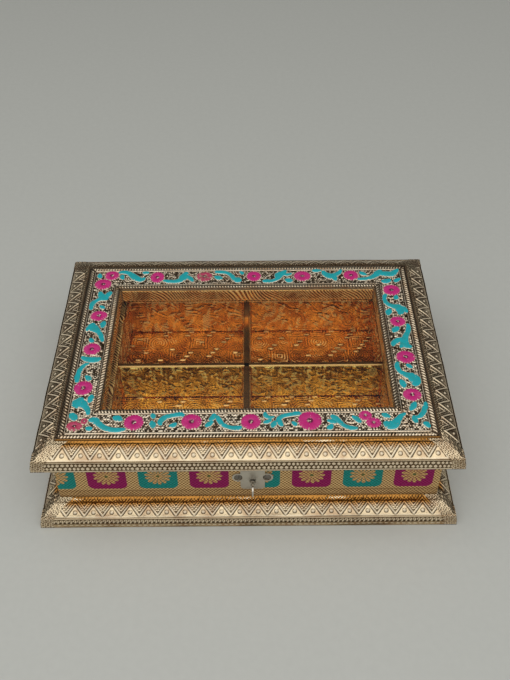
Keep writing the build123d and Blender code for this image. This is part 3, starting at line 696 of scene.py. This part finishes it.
# leaves and stems are lines of x, y and half width, one after another
leaves = [
    # front
    [-112.4, -78, 0.8, -108.5, -77.4, 3, -105, -80.5, 2.3, -100.5, -84.6, 2.2, -95, -86.6, 2.1, -89.5, -86.8,
     1.9, -85.4, -86.2, 0.9],
    [-113.4, -84.4, 0.7, -111, -85.4, 2.2, -108.4, -85.4, 0.7],
    [-95.4, -74.6, 1.1, -92, -76, 2.8, -88.2, -78, 1],
    [-68.2, -71.8, 0.9, -67, -74, 1.8, -66.4, -76.8, 0.6],
    [-67.8, -78.4, 0.6, -66.8, -82, 2.4, -66.4, -85.6, 0.7],
    [-61, -83.2, 0.9, -61.6, -79.6, 1.9, -59, -75.8, 2.1, -55.5, -74.2, 1.9, -51, -73, 1.9, -47.4, -72.8, 2,
     -45, -74.4, 1],
    [-55.2, -83.8, 0.7, -52.4, -82.8, 2.1, -50, -80.8, 0.7],
    [-29.4, -84.8, 1.1, -27.4, -82.2, 1.9, -24.4, -79.4, 0.8],
    [-27, -78.8, 1.1, -24.8, -76, 1.9, -23.4, -72.2, 1.2],
    [-22, -74, 0.9, -20.4, -77.8, 1.8, -18.2, -81.8, 1.7, -14.6, -84.4, 1.6, -10.4, -85.8, 1.8, -6.6, -85.8,
     2, -4.4, -84.4, 0.9],
    [12.2, -71.2, 0.8, 12.8, -74.6, 1.6, 15.8, -76.4, 1.3, 18.8, -75.4, 0.6],
    [10.8, -81.2, 0.7, 13.8, -80.2, 1.6, 16.8, -78, 0.7],
    [17, -86, 0.8, 18, -82.8, 1.9, 20.6, -79.6, 1.2],
    [24.4, -84.8, 1, 22.6, -81.2, 1.9, 22, -77.6, 1.8, 25, -74.9, 1.7, 30, -73.6, 1.7, 35, -72.6, 1.8, 38,
     -73, 1],
    [31, -80.4, 0.6, 33, -82.4, 1.6, 33.8, -84.6, 0.6],
    [58.8, -74.6, 1, 61.6, -77.2, 2.3, 64.6, -80.8, 1.8, 67.6, -84.4, 1.5, 72, -86.6, 1.9, 77, -86.8, 1],
    [55.8, -79.4, 0.8, 59, -80.3, 1.8, 62.4, -81.8, 0.8],
    [55.2, -87, 0.9, 57.6, -85.8, 2.1, 59.4, -82.8, 0.6],
    [73.6, -75.4, 0.8, 76.4, -78, 2, 79.6, -81.8, 1.2],
    [94.8, -74, 0.8, 97.6, -75, 2.2, 100.8, -77, 0.7],
    [95.6, -81.2, 1.4, 99.4, -84.2, 3.9, 102.8, -83, 3.8, 106, -79.2, 2.4, 108.6, -75.6, 1.7, 112, -73.2,
     0.8],
    # right
    [117.6, -75.4, 1.1, 117.8, -79.4, 2, 118.8, -82.6, 1.1],
    [128, -62.4, 0.9, 127.2, -66.5, 1.9, 125, -72, 1.8, 122, -76, 1.6, 118.4, -77.4, 1],
    [123, -83, 1.3, 125.6, -83.8, 2.5, 127.2, -87, 0.8],
    [120.6, -62.4, 0.8, 118.3, -66.5, 2.4, 115.6, -70.9, 0.7],
    [112.8, -21.4, 1.2, 111.8, -26, 1.8, 113.4, -31.4, 1.8, 117, -34.6, 2.4, 121.4, -37, 4, 123.6, -41.4, 4.2,
     122.3, -47, 1.4],
    [112.4, -40, 0.9, 114, -44, 2.5, 114.2, -48.6, 0.8],
    [119, -23.8, 0.7, 121, -26, 1.9, 122.9, -28, 0.7],
    [125.8, 21.4, 1, 126.2, 16.5, 1.9, 124.6, 11.5, 1.9, 122.2, 6, 2.4, 120.8, 1, 3.3, 121.6, -3, 3.2, 125.8,
     -5.8, 1.3],
    [119.8, 4, 2, 115.8, 2.4, 2.3, 112.4, -0.8, 2.1, 111.2, -4.4, 0.8],
    [119.4, -1, 1.8, 118.2, -3.6, 1.6, 117.1, -6.4, 0.7],
    [118.3, 17.8, 1.1, 115.6, 14.8, 2.8, 113.2, 11.2, 0.8],
    [113, 57.8, 1.2, 111.4, 54, 1.8, 111.2, 49.5, 1.8, 113.4, 44.8, 1.8, 117.5, 42.4, 2.6, 121.5, 40.4, 4.2,
     122.2, 36, 3.2, 120.8, 31.8, 1.1],
    [122.5, 41.6, 2.1, 126, 38.8, 2.2, 127.4, 34.2, 0.8],
    [121.4, 56, 1, 120.8, 53, 2, 119.6, 50.6, 0.7],
    [114.4, 39.4, 0.9, 112.8, 35.6, 2.6, 111.4, 31.4, 0.8],
    [111, 74.4, 1.2, 114.6, 74, 2.8, 119.4, 76, 1.7],
    [121.8, 73, 1.1, 124, 75.2, 2, 127.4, 78, 0.8],
    # back
    [-108.2, 88.2, 1.2, -104.4, 88.6, 2, -100, 87.6, 2.3, -96.5, 84, 2.9, -93, 80.6, 3.2, -89, 78.4, 2.7,
     -85.4, 80.8, 1.1],
    [-104.6, 85, 1, -104.8, 82, 1.9, -103.4, 78.8, 0.8],
    [-88.2, 88, 0.9, -85.4, 87.6, 2.1, -82.6, 88.4, 0.9],
    [-70.2, 77.2, 1, -66.2, 76.2, 1.9, -61.2, 75.8, 1.9, -56.4, 77.4, 2.6, -53.4, 81.8, 3.5, -50.8, 88.4,
     1.4],
    [-50.8, 83, 1.6, -47.2, 79, 1.9, -45.4, 75.4, 0.9],
    [-27.4, 88.2, 1.3, -23, 88, 2.1, -17.6, 86.8, 1.7, -13.6, 83.4, 1.9, -11.4, 79.4, 2, -8, 77.2, 3.4, -4.8,
     76.6, 1.3],
    [-27.6, 82.2, 1, -24, 80.2, 2.6, -20.6, 79.2, 1],
    [-6.4, 88.6, 0.8, -4.6, 86.4, 1.6, -4.6, 84, 0.7],
    [12.4, 75.6, 1, 16, 75.4, 2.3, 20.4, 75.8, 1.5, 24.8, 78.6, 1.9, 26.4, 83.2, 3.7, 29.6, 86.2, 2.5, 32.6,
     89.6, 1.1],
    [30.2, 84.6, 1.1, 33.6, 83.8, 1.7, 37.2, 85.4, 0.7],
    [31, 77.2, 1.1, 34.4, 76.2, 2.8, 37.6, 76, 1.1],
    [54.4, 88.6, 1.1, 58, 88.8, 2, 62.2, 89, 0.8],
    [63.4, 88.8, 1.1, 65, 84.4, 2.6, 68.6, 81.6, 3.5, 72, 79.6, 2.9, 73.6, 75.2, 0.9],
    [71, 82.6, 2.4, 74.8, 84, 2.1, 77.4, 86.8, 1.8, 78.8, 90, 0.8],
    [91.6, 77, 0.9, 95.6, 77.4, 1.7, 101, 78.2, 1.9, 106, 81.2, 2.4, 109.6, 85.2, 3.1, 112.6, 88.8, 1.6],
    [109.6, 85, 2.3, 115.4, 84, 3.2, 120.6, 83.8, 3.2, 124.2, 86.8, 2.3, 127, 90.2, 1],
    [94.4, 87, 0.7, 96.4, 84.6, 2, 99.8, 82.6, 0.8],
    # left
    [-124, 86.8, 0.8, -123.6, 83.4, 2.1, -122.6, 80.6, 0.7],
    [-121, 63.4, 1.3, -119.8, 59, 2.6, -116.6, 55.6, 4, -113.4, 53.4, 1.3],
    [-112.2, 63.6, 1.2, -113.4, 60.4, 2.3, -116, 57, 2.5],
    [-117, 54.8, 2.2, -121.5, 53, 1.7, -124.8, 49.6, 2, -126, 45.4, 2.1, -125.6, 40.4, 0.9],
    [-119, 45.8, 0.7, -117, 43.8, 1.8, -114.8, 42, 0.7],
    [-122, 25, 1.4, -122, 20.4, 4.2, -118.8, 17, 3.1, -115.6, 13.2, 2, -113.2, 8, 1.9, -112, 3, 0.9],
    [-122.5, 21.5, 1.8, -124.8, 18.6, 1.9, -125.8, 15.4, 0.8],
    [-113, 27, 0.9, -114, 23.4, 2.3, -114, 19, 0.8],
    [-121.8, 7.6, 0.7, -120.8, 5, 1.9, -119.2, 2.6, 1.1],
    [-126, -13, 0.9, -122.8, -15.4, 2.2, -118.5, -16.6, 2.9, -114, -16.4, 2.7, -111, -15, 1.2],
    [-119.2, -20.2, 0.9, -122.6, -22.4, 1.5, -125, -26.8, 1.8, -126, -32, 2, -126.2, -36.5, 2, -125.8, -40.6,
     0.9],
    [-120.2, -33.4, 0.7, -118, -35.8, 2.2, -116.6, -38.8, 1.6],
    [-119.6, -55.4, 1.3, -121.6, -60.6, 4.8, -124.2, -65.4, 2.6],
    [-119.5, -60.4, 3.3, -116.4, -64.2, 2.5, -114.2, -68, 1.8, -113.2, -72.8, 0.9],
    [-113, -52.6, 0.9, -113.4, -56.6, 2.2, -114.3, -61, 0.8],
    [-126, -70.8, 1.3, -123.6, -74, 2.9, -121.2, -77.6, 1.4],
]
random.seed(21)


def petalCount(a, b):
    return int(math.pi * (a + b) / enamel["petalWidth"])


def flowerPart(x, y, a, b):
    # a low dome with a notched edge and creases towards its heart
    rings = [(0.12, 0.6), (0.25, 0.6), (0.29, 0.85), (0.5, 1), (0.7, 1), (0.88, 0.85), (1, 0.45), (1, 0)]
    steps, rise = 120, enamel["flowerRise"]
    angle = np.linspace(0, math.tau, steps, endpoint=False)
    wave = np.abs(np.sin(angle * petalCount(a, b) / 2 + random.random()))
    rim = 1 - 0.12 * (1 - wave) ** 1.6
    crease = 0.35 * (1 - wave) ** 4
    centre = np.array([x, y, stripTop + enamel["foot"]])
    points, hollow = [centre + 0.6 * rise * up], [1.0]
    for ring, lift in rings:
        x, y = a * ring * rim * np.cos(angle), b * ring * rim * np.sin(angle)
        z = rise * (lift - crease * (0.3 < ring < 0.95))
        points.extend(centre + np.column_stack([x, y, z]))
        hollow.extend(np.maximum(crease, ring < 0.27))
    return np.array(points), *shellFaces(len(rings), steps), {"hollow": np.array(hollow)}


def smoothLine(values, fine):
    # a cubic through evenly numbered knots, with slopes from their neighbours
    slopes = np.gradient(values)
    k = np.clip(fine.astype(int), 0, len(values) - 2)
    t = fine - k
    ends = (2 * t**3 - 3 * t**2 + 1) * values[k] + (3 * t**2 - 2 * t**3) * values[k + 1]
    return ends + (t**3 - 2 * t**2 + t) * slopes[k] + (t**3 - t**2) * slopes[k + 1]


def leafPart(path, spread, rise):
    # a stroke with a rounded back
    x, y, half = np.reshape(path, (-1, 3)).T
    fine = np.linspace(0, len(x) - 1, 7 * (len(x) - 1) + 1)
    line = np.stack([smoothLine(x, fine), smoothLine(y, fine)], axis=1)
    wide = np.maximum(smoothLine(half + spread, fine), 0.2)
    wide[[0, -1]] *= 0.45
    lean = np.gradient(line, axis=0)
    lean /= np.linalg.norm(lean, axis=1)[:, None]
    normal = np.stack([-lean[:, 1], lean[:, 0]], axis=1)
    across = np.array([-1, -0.93, -0.6, 0, 0.6, 0.93, 1])
    lift = np.array([0, 0.65, 0.95, 1.0, 0.95, 0.65, 0])
    spots = line[:, None, :] + normal[:, None, :] * wide[:, None, None] * across[None, :, None]
    z = stripTop + enamel["foot"] + rise * np.broadcast_to(lift, spots.shape[:2])
    index = numbers(z.shape)
    faces = quadsOf(index)
    smooth = [True] * len(faces)
    faces += quadsOf(index[:, [-1, 0]]) + [index[0].tolist(), index[-1].tolist()[::-1]]
    smooth += [False] * (len(faces) - len(smooth))
    return np.dstack([spots, z]).reshape(-1, 3), faces, smooth, {"hollow": np.tile(-lift, len(line))}


def pearlPart(x, y, radius, rise):
    rings, steps = ((0.55, 0.84), (0.9, 0.45), (1.0, 0.0)), 8
    points = [(x, y, stripTop + rise)]
    for size, lift in rings:
        turns = [(math.cos(math.tau * k / steps), math.sin(math.tau * k / steps)) for k in range(steps)]
        points += [(x + radius * size * a, y + radius * size * b, stripTop + rise * lift) for a, b in turns]
    return np.array(points), *shellFaces(len(rings), steps), {"hollow": np.full(len(points), -0.6)}


def pearlsRound(x, y, a, b):
    # a row of pearls round a flower, and one in its heart
    count = petalCount(a, b)
    angles = [math.tau * k / count for k in range(count)]
    size = enamel["pearlRadius"], enamel["pearlRise"]
    pearls = [pearlPart(x + a * math.cos(t), y + b * math.sin(t), *size) for t in angles]
    return pearls + [pearlPart(x + 0.3, y - 0.3, 0.6, 0.75)]


def leafParts(spread, rise):
    return [leafPart(leaf, spread, rise) for leaf in leaves]


rimSpread = enamel["leafSpread"] + enamel["rimSpread"]
pearls = [pearl for flower in flowers + fadedFlowers for pearl in pearlsRound(*flower)]
for name, parts, material in (
    ("enamel_flowers", [flowerPart(*flower) for flower in flowers], pinkEnamel),
    ("enamel_faded_flowers", [flowerPart(*flower) for flower in fadedFlowers], fadedEnamel),
    ("enamel_leaves", leafParts(enamel["leafSpread"], enamel["leafRise"]), tealEnamel),
    ("leaf_rims", leafParts(rimSpread, enamel["rimRise"]), stripMetal),
    ("flower_pearls", pearls, stripMetal),
):
    finishPiece(name, parts, "lid", "enamelled_metal", material)
print("enamel laid")


# brocade ribbon: a thin closed band round the walls, a little soft at its edges
ribbon = {"thick": 0.5, "step": 1.1, "cornerRadius": 1.2, "soft": 0.05}


def ribbonLine(hx, hy):
    # points round the walls from the middle of the back, with outward directions
    r = ribbon["cornerRadius"]
    corners = [(hx - r, hy - r, 90), (hx - r, r - hy, 0), (r - hx, r - hy, -90), (r - hx, hy - r, 180)]
    turns = [(x, y, first - 22.5 * k) for x, y, first in corners for k in range(5)]
    spots, outs = [np.array([0.0, hy])], [np.array([0.0, 1.0])]
    for x, y, degrees in turns + [(0.0, hy - r, 90)]:
        out = np.array([math.cos(math.radians(degrees)), math.sin(math.radians(degrees))])
        start, end = spots[-1], np.array([x, y]) + r * out
        count = max(1, int(np.linalg.norm(end - start) / ribbon["step"]))
        for k in range(1, count + 1):
            spots.append(start + (end - start) * k / count)
            outs.append(out)
    return np.array(spots[:-1]), np.array(outs[:-1])


def buildRibbon():
    low, high = boxOf("brocade_ribbon")
    spots, outs = ribbonLine(*high[:2])
    steps = np.linalg.norm(np.diff(spots, axis=0, append=spots[:1]), axis=1)
    total, wide = steps.sum(), high[2] - low[2]
    along = total / 2 - (np.cumsum(steps) - steps)  # counts from the middle of the front, to the right
    heights = np.linspace(low[2], high[2], int(wide / ribbon["step"]))
    soft = ribbon["soft"] * (1 - ease(np.minimum(heights - low[2], high[2] - heights), 0, 2.0))
    points, places, grids = [], [], []
    for tall, depth in ((heights, soft), (heights[[0, -1]], np.full(2, ribbon["thick"]))):
        grids.append(numbers((len(spots), len(tall)), sum(grid.size for grid in grids)))
        flat = spots[:, None, :] - outs[:, None, :] * depth[None, :, None]
        z = np.broadcast_to(tall, flat.shape[:2])
        points.append(np.dstack([flat, z]).reshape(-1, 3))
        places.append(np.dstack([along[:, None] + 0 * z, z, 0 * z]).reshape(-1, 3))
    index, under = (np.vstack([grid, grid[:1]]) for grid in grids)
    faces = quadsOf(index)
    smooth = [True] * len(faces)
    faces += quadsOf(under)
    for end in (0, -1):
        faces += quadsOf(np.column_stack([index[:, end], under[:, end]]))
    smooth += [False] * (len(faces) - len(smooth))
    band = np.concatenate(points), faces, smooth, {"spot": np.concatenate(places)}
    piece = finishPiece("brocade_band", [band], "box", "brocade", cloth, "brocade_ribbon")


buildRibbon()
print("ribbon wrapped")


# lining: stamped foil in each compartment, on the tray's rim and inside the lid's opening
lining = {"floorStep": 0.7, "wallStep": 0.75, "edgeStep": 0.6, "gap": 0.05, "skin": 0.2, "rise": 0.75,
          "inset": 0.2, "cell": 17.0, "line": 2.1, "wallLine": 2.4, "slantLine": 2.9, "rowPitch": 4.3,
          "dashPitch": 19.0, "dashShift": 3.1}


def floorFigure(a, b, seed):
    # cells with rings, nested squares or leaning lines, and short raised dashes; the dashes take painted
    # highlights, the lines painted glints, and the rest painted shade
    cell, pitch = lining["cell"], lining["dashPitch"]
    ia, ib = np.floor(a / cell), np.floor(b / cell)
    x, y = a - (ia + 0.5) * cell, b - (ib + 0.5) * cell
    kind = (ia * 2 + ib + seed) % 3
    squares = np.maximum(np.abs(x), np.abs(y))
    leaning = np.abs(x + y) / 1.4 + 0.7 * np.sin(0.5 * (x - y))
    field = np.where(kind == 0, np.hypot(x, y), np.where(kind == 1, squares, leaning))
    lines = swing(field + 0.3 * waves(a, b, seed, (0.25, 0.25)), lining["line"])
    lines = lines * ease(cell / 2 - squares, 0.3, 0.9) + 0.7 * ridge(squares, cell / 2 - 0.1, 0.4)
    row = np.round(b / lining["rowPitch"])
    shifted = a - lining["dashShift"] * row
    dice = chance(row * 91.7 + np.round(shifted / pitch) * 37.3 + seed)
    dash = np.hypot(np.maximum(np.abs(repeat(shifted, pitch)) - 1.6, 0), b - lining["rowPitch"] * row)
    dashes = dome(dash / 0.8) * (dice > 0.45)
    # where painted glints fall along the lines
    glint = ease(waves(a, b, seed + 3, (0.3, 0.3)), -0.6, 1.6)
    return np.maximum(0.45 * lines, dashes), 0.45 - 1.5 * dashes - 1.1 * glint * lines


def streakFigure(a, b, seed):
    # upright flutes and round hollows under a fine hatching, with painted highlights where they are lit and
    # painted shade elsewhere
    flutes = ease(waves(a, b, seed, (0.9, 0.03)), -0.9, 0.9)
    spots = ease(waves(a, b, seed + 7, (0.55, 0.45)), -0.5, 1.1)
    hatch = swing(0.6 * a + b + 1.5 * waves(a, b, seed, (0.3, 0.3), 5), lining["wallLine"])
    lit = np.maximum(flutes * spots, ease(waves(a, b, seed + 9, (0.8, 0.7)), 1.0, 1.6))
    # painted shade, lifted into painted highlights where lit
    return hatch**2 * (0.25 + 0.75 * lit), 0.35 - 1.9 * lit * (0.5 + 0.5 * hatch)


def slantFigure(a, b, seed):
    # bent slanting lines that carry painted highlights, stronger where lit, over painted shade
    lines = swing(a + b + 2.0 * waves(a, b, seed, (0.12, 0.12), 5), lining["slantLine"])
    lit = ease(waves(a, b, seed + 2, (0.5, 0.2)), -1.0, 1.0)
    return 0.6 * lines, 0.2 - 1.9 * lines * (0.4 + 0.6 * lit)


def edgeFigure(a, b, wearAndGlint):
    # the foil over a divider's top: a painted highlight along its front edge where asked for, painted dark
    # reflection behind it, and a painted copper reflection at its far end
    return 0 * a, 0.9 - 1.9 * (1 - ease(b, 1.1, 1.7)) * wearAndGlint - 1.18 * ease(b, 114, 132)


def liningPanel(corner, first, second, size, figure, seed, step):
    # a closed thin sheet whose face looks along first x second. A figure returns its relief and its darkness,
    # which carries painted shade and painted highlights
    out = np.cross(first, second)
    a, b = (np.linspace(0, length, max(2, int(length / step)) + 1) for length in size)
    a, b = np.meshgrid(a, b, indexing="ij")
    border = np.minimum(np.minimum(a, size[0] - a), np.minimum(b, size[1] - b))
    relief, dark = figure(a, b, seed)
    relief = lining["rise"] * relief * ease(border, 0, 0.8)
    ends = np.ix_((0, -1), (0, -1))
    directions = (first, second, out)
    top = corner + placed(directions, (a, b, lining["gap"] + lining["skin"] + relief))
    back = corner + placed(directions, (a[ends], b[ends], lining["gap"]))
    return closedSheet(top, back, {"hollow": np.clip(hollowOf(relief, 2, 0.3) + dark, -1, 1)})


def topPanel(node, figure, seed, step):
    # foil on a piece's top face, a little inside its edges
    low, high = boxOf(node)
    inset = lining["inset"]
    corner = (low[0] + inset, low[1] + inset, high[2])
    return liningPanel(corner, lengthwise, depthwise, (high - low)[:2] - 2 * inset, figure, seed, step)


def layLining(name, panels, body="box", foil=copperFoil):
    finishPiece(name, panels, body, "copper_foil", foil)


def freeSpans(axis, first, middle, last):
    # the stretches between three pieces
    boxes = [boxOf(node) for node in (first, middle, last)]
    return [(low[1][axis], high[0][axis]) for low, high in zip(boxes, boxes[1:])]


columns = zip(("left", "right"), freeSpans(0, "tray_wall_left", "long_divider", "tray_wall_right"))
rows = list(zip(("front", "back"), freeSpans(1, "tray_wall_front", "cross_divider", "tray_wall_back")))
trayFloor, trayTop = boxOf("tray_floor")[1][2], boxOf("long_divider")[1][2]
deep = lining["gap"] + lining["skin"] + lining["rise"] + 0.05
foot, tall = trayFloor + deep, trayTop - trayFloor - deep
for number, (column, (x0, x1)) in enumerate(columns):
    for row, (y0, y1) in rows:
        seed = 3 + number * 2 + (row == "back")
        wide, long = x1 - x0, y1 - y0
        floorPanel = liningPanel((x0, y0, trayFloor), lengthwise, depthwise, (wide, long), floorFigure, seed,
                                 lining["floorStep"])
        turns = [((x1 - deep, y0, foot), -lengthwise, wide - 2 * deep), ((x0, y0, foot), depthwise, long),
                 ((x1, y1, foot), -depthwise, long), ((x0 + deep, y1, foot), lengthwise, wide - 2 * deep)]
        walls = [liningPanel(corner, first, up, (run, tall), streakFigure, seed + 20 * k, lining["wallStep"])
                 for k, (corner, first, run) in enumerate(turns)]
        layLining(f"lining_{row}_{column}", [floorPanel] + walls[:3])
        layLining(f"lining_{row}_{column}_far", walls[3:], foil=amberFoil if row == "front" else copperFoil)

# only the cross divider's top takes the painted highlight along its front edge
for divider, wearAndGlint in (("cross_divider", 1), ("long_divider", 0)):
    layLining(f"{divider}_edge", [topPanel(divider, edgeFigure, wearAndGlint, lining["edgeStep"])])

for side, (inward, along) in sides.items():
    low, high = boxOf(f"lid_board_{side}")
    edge, half = extents(f"lid_board_{side}", side)
    wide = abs((high - low) @ inward)
    half = half - wide - deep
    corner = half * along - (edge - wide) * inward + low[2] * up
    size = (2 * half, boxOf("glass_pane")[0][2] - low[2] - 0.1)
    panel = liningPanel(corner, -along, up, size, slantFigure, 5, lining["floorStep"])
    layLining(f"lid_lining_{side}", [panel], "lid")
    layLining(f"rim_lining_{side}", [topPanel(f"tray_rim_{side}", slantFigure, 9, lining["wallStep"])])
print("lining laid")


# plain CAD pieces keep their shape and take a finish, and metal ones a small round on their edges
finishes = {"copper_foil": copperFoil, "board": board, "glass": glass, "nickel": nickel, "steel": steel,
            "brass": brass}
roundedSlots = {"nickel": 0.00022, "steel": 0.00012, "brass": 0.00012}
for row in frame["record"]["subparts"]:
    node, slot = row["node"], row["material_slot"]
    piece = frame["nodes"][node]
    if slot in finishes:
        piece.data.materials.clear()
        piece.data.materials.append(finishes[slot])
    if slot in roundedSlots and "screws" not in node:
        bevel = piece.modifiers.new("rounded edges", "BEVEL")
        bevel.width = roundedSlots[slot]
        bevel.segments = 2
        bevel.limit_method = "ANGLE"
print("plain pieces finished")


# slotted screws: where they are, which way they face and how their heads stand out
screwKinds = {
    # the lock plate's screws take the darker metal: painted shade on their heads
    "lock_plate_screws": ("box", "nickel", paintedShadeSteel, (0, -1, 0), "pan"),
    "hinge_wall_screws": ("box", "brass", brass, (0, 1, 0), "sunk"),
    "hinge_lid_screws": ("lid", "brass", brass, (0, 0, -1), "sunk"),
    "lock_case_screws": ("box", "steel", steel, (0, 1, 0), "sunk"),
    "strike_screws": ("lid", "steel", steel, (0, 0, -1), "sunk"),
}
screwShape = {"slotWidth": 0.36, "slotDepth": 0.45, "steps": 48, "domeRings": 9, "panSpread": 1.25}


def screwPart(island, out, kind, slotAngle):
    # a head with a slot on top of a plain shank, on the same axis and as long as the CAD screw
    out = np.array(out, float)
    reach = island @ out
    centre = (island.min(0) + island.max(0)) / 2
    centre = centre - out * (centre @ out)
    side = np.array(Vector(out).orthogonal().normalized())
    other = np.cross(out, side)
    away = np.hypot((island - centre) @ side, (island - centre) @ other)
    radius, shank = away.max(), away[reach < reach.min() + 0.5].max()
    top, tip, seat = reach.max(), reach.min(), reach[away > 0.98 * radius].min()
    sizes = np.linspace(0, 1, screwShape["domeRings"] + 1)[1:]
    if kind == "pan":
        radius = radius * screwShape["panSpread"]
        rings = [(radius * size, top - 0.8 * (top - seat) * size**3) for size in sizes]
        rings += [(radius, seat), (shank, seat), (shank, tip)]
    else:
        rings = [(radius * size, top - 0.04 * size**2) for size in sizes]
        rings += [(shank, top + shank - radius), (shank, tip)]
    steps, slot, slotWidth = (screwShape[key] for key in ("steps", "slotDepth", "slotWidth"))
    angle = np.linspace(0, math.tau, steps, endpoint=False)
    points = [centre + out * (top - slot)]
    for number, (size, level) in enumerate(rings):
        across = np.abs(np.sin(angle - slotAngle)) * size
        cut = slot * (1 - ease(across, 0.7 * slotWidth, slotWidth)) * (number < len(sizes))
        ring = np.outer(size * np.cos(angle), side) + np.outer(size * np.sin(angle), other)
        points.extend(centre + ring + np.outer(level - cut, out))
    faces, smooth = shellFaces(len(rings), steps)
    return np.array(points), faces, [False] * len(smooth), {}


for node, (body, slot, material, out, kind) in screwKinds.items():
    points = np.array([v.co for v in frame["nodes"][node].data.vertices]) * 1000
    points = points[np.argsort(points[:, 0])]
    islands = np.split(points, np.where(np.diff(points[:, 0]) > 3.0)[0] + 1)
    parts = [screwPart(island, out, kind, 0.5 + 1.9 * number) for number, island in enumerate(islands)]
    finishPiece(f"{node}_slotted", parts, body, slot, material, node)
print("screws cut")


# floor, light and camera
studio = {
    "floor": (0.56, 0.57, 0.53, 1),
    "floorReach": 6.0,
    "floorLevel": -0.0002,
    "lampSize": (2.3, 1.9),
    "lampPower": 12.0,
    "lampPlace": (-0.12, -0.46, 1.2),
    # height above the horizon against strength, behind the box and on the lamp's side
    "skyBehind": [(0.0, 0.5), (0.09, 0.36), (0.2, 0.1), (0.7, 0.09), (0.88, 0.5), (1.0, 0.7)],
    "skyBefore": [(0.0, 0.5), (0.3, 0.4), (0.7, 0.5), (1.0, 0.7)],
    "skyTint": (1, 0.99, 0.97),
}


def floorPaint(tree, place):
    speck = place.noise(180.0, 4.0)
    darker = tuple(0.93 * tone for tone in studio["floor"][:3]) + (1,)
    return {"Base Color": speck.mix(studio["floor"], darker), "Roughness": speck * 0.1 + 0.5}


def buildFloor():
    far, level = studio["floorReach"], studio["floorLevel"]
    mesh = bpy.data.meshes.new("floor")
    corners = [(-far, -far, level), (far, -far, level), (far, far, level), (-far, far, level)]
    mesh.from_pydata(corners, [], [(0, 1, 2, 3)])
    mesh.materials.append(makeMaterial("floorPaint", floorPaint))
    putObject("floor", mesh)


def buildLight():
    lamp = bpy.data.lights.new("overhead", "AREA")
    lamp.shape = "RECTANGLE"
    lamp.size, lamp.size_y = studio["lampSize"]
    lamp.energy = studio["lampPower"]
    piece = putObject("overhead", lamp)
    piece.location = studio["lampPlace"]
    piece.rotation_euler = (-Vector(studio["lampPlace"])).to_track_quat("-Z", "Y").to_euler()
    world = bpy.data.worlds.new("studio")
    bpy.context.scene.world = world
    world.use_nodes = True
    tree = world.node_tree
    direction = putNode(tree, "TexCoord").outputs["Generated"]
    toward = putNode(tree, "SeparateXYZ", {0: direction}).outputs
    skies = []
    for key in ("skyBefore", "skyBehind"):
        ramp = putNode(tree, "ValToRGB", {0: toward[2]})
        stops, elements = studio[key], ramp.color_ramp.elements
        elements[-1].position = stops[-1][0]
        for position, _ in stops[1:-1]:
            elements.new(position)
        for element, (_, tone) in zip(elements, stops):
            element.color = [tone * tint for tint in studio["skyTint"]] + [1]
        skies.append(ramp.outputs[0])
    plug(tree, tree.nodes["Background"], {"Color": Value(tree, toward[1]).step(-0.3, 0.25).mix(*skies)})


# the place and turn that match the photograph's view
view = {"place": (0.003835, -0.495835, 0.544414), "pitch": 43.132, "yaw": 0.213, "roll": -0.30,
        "focalPixels": 886.27, "longSide": 680, "sensor": 36.0}


def buildCamera():
    pitch, yaw, roll = (math.radians(view[key]) for key in ("pitch", "yaw", "roll"))
    ahead = Vector((math.sin(yaw) * math.cos(pitch), math.cos(yaw) * math.cos(pitch), -math.sin(pitch)))
    level = Vector((math.cos(yaw), -math.sin(yaw), 0))
    over = level.cross(ahead)
    right = math.cos(roll) * level + math.sin(roll) * over
    top = math.cos(roll) * over - math.sin(roll) * level
    camera = bpy.data.cameras.new("camera")
    camera.sensor_fit = "AUTO"
    camera.sensor_width = view["sensor"]
    camera.lens = view["focalPixels"] / view["longSide"] * view["sensor"]
    camera.clip_start = 0.01
    piece = putObject("camera", camera)
    turn = Matrix((right, top, -ahead)).transposed().to_4x4()
    piece.matrix_world = Matrix.Translation(view["place"]) @ turn
    bpy.context.scene.camera = piece


buildFloor()
buildLight()
buildCamera()
bpy.context.scene.view_settings.view_transform = "Standard"
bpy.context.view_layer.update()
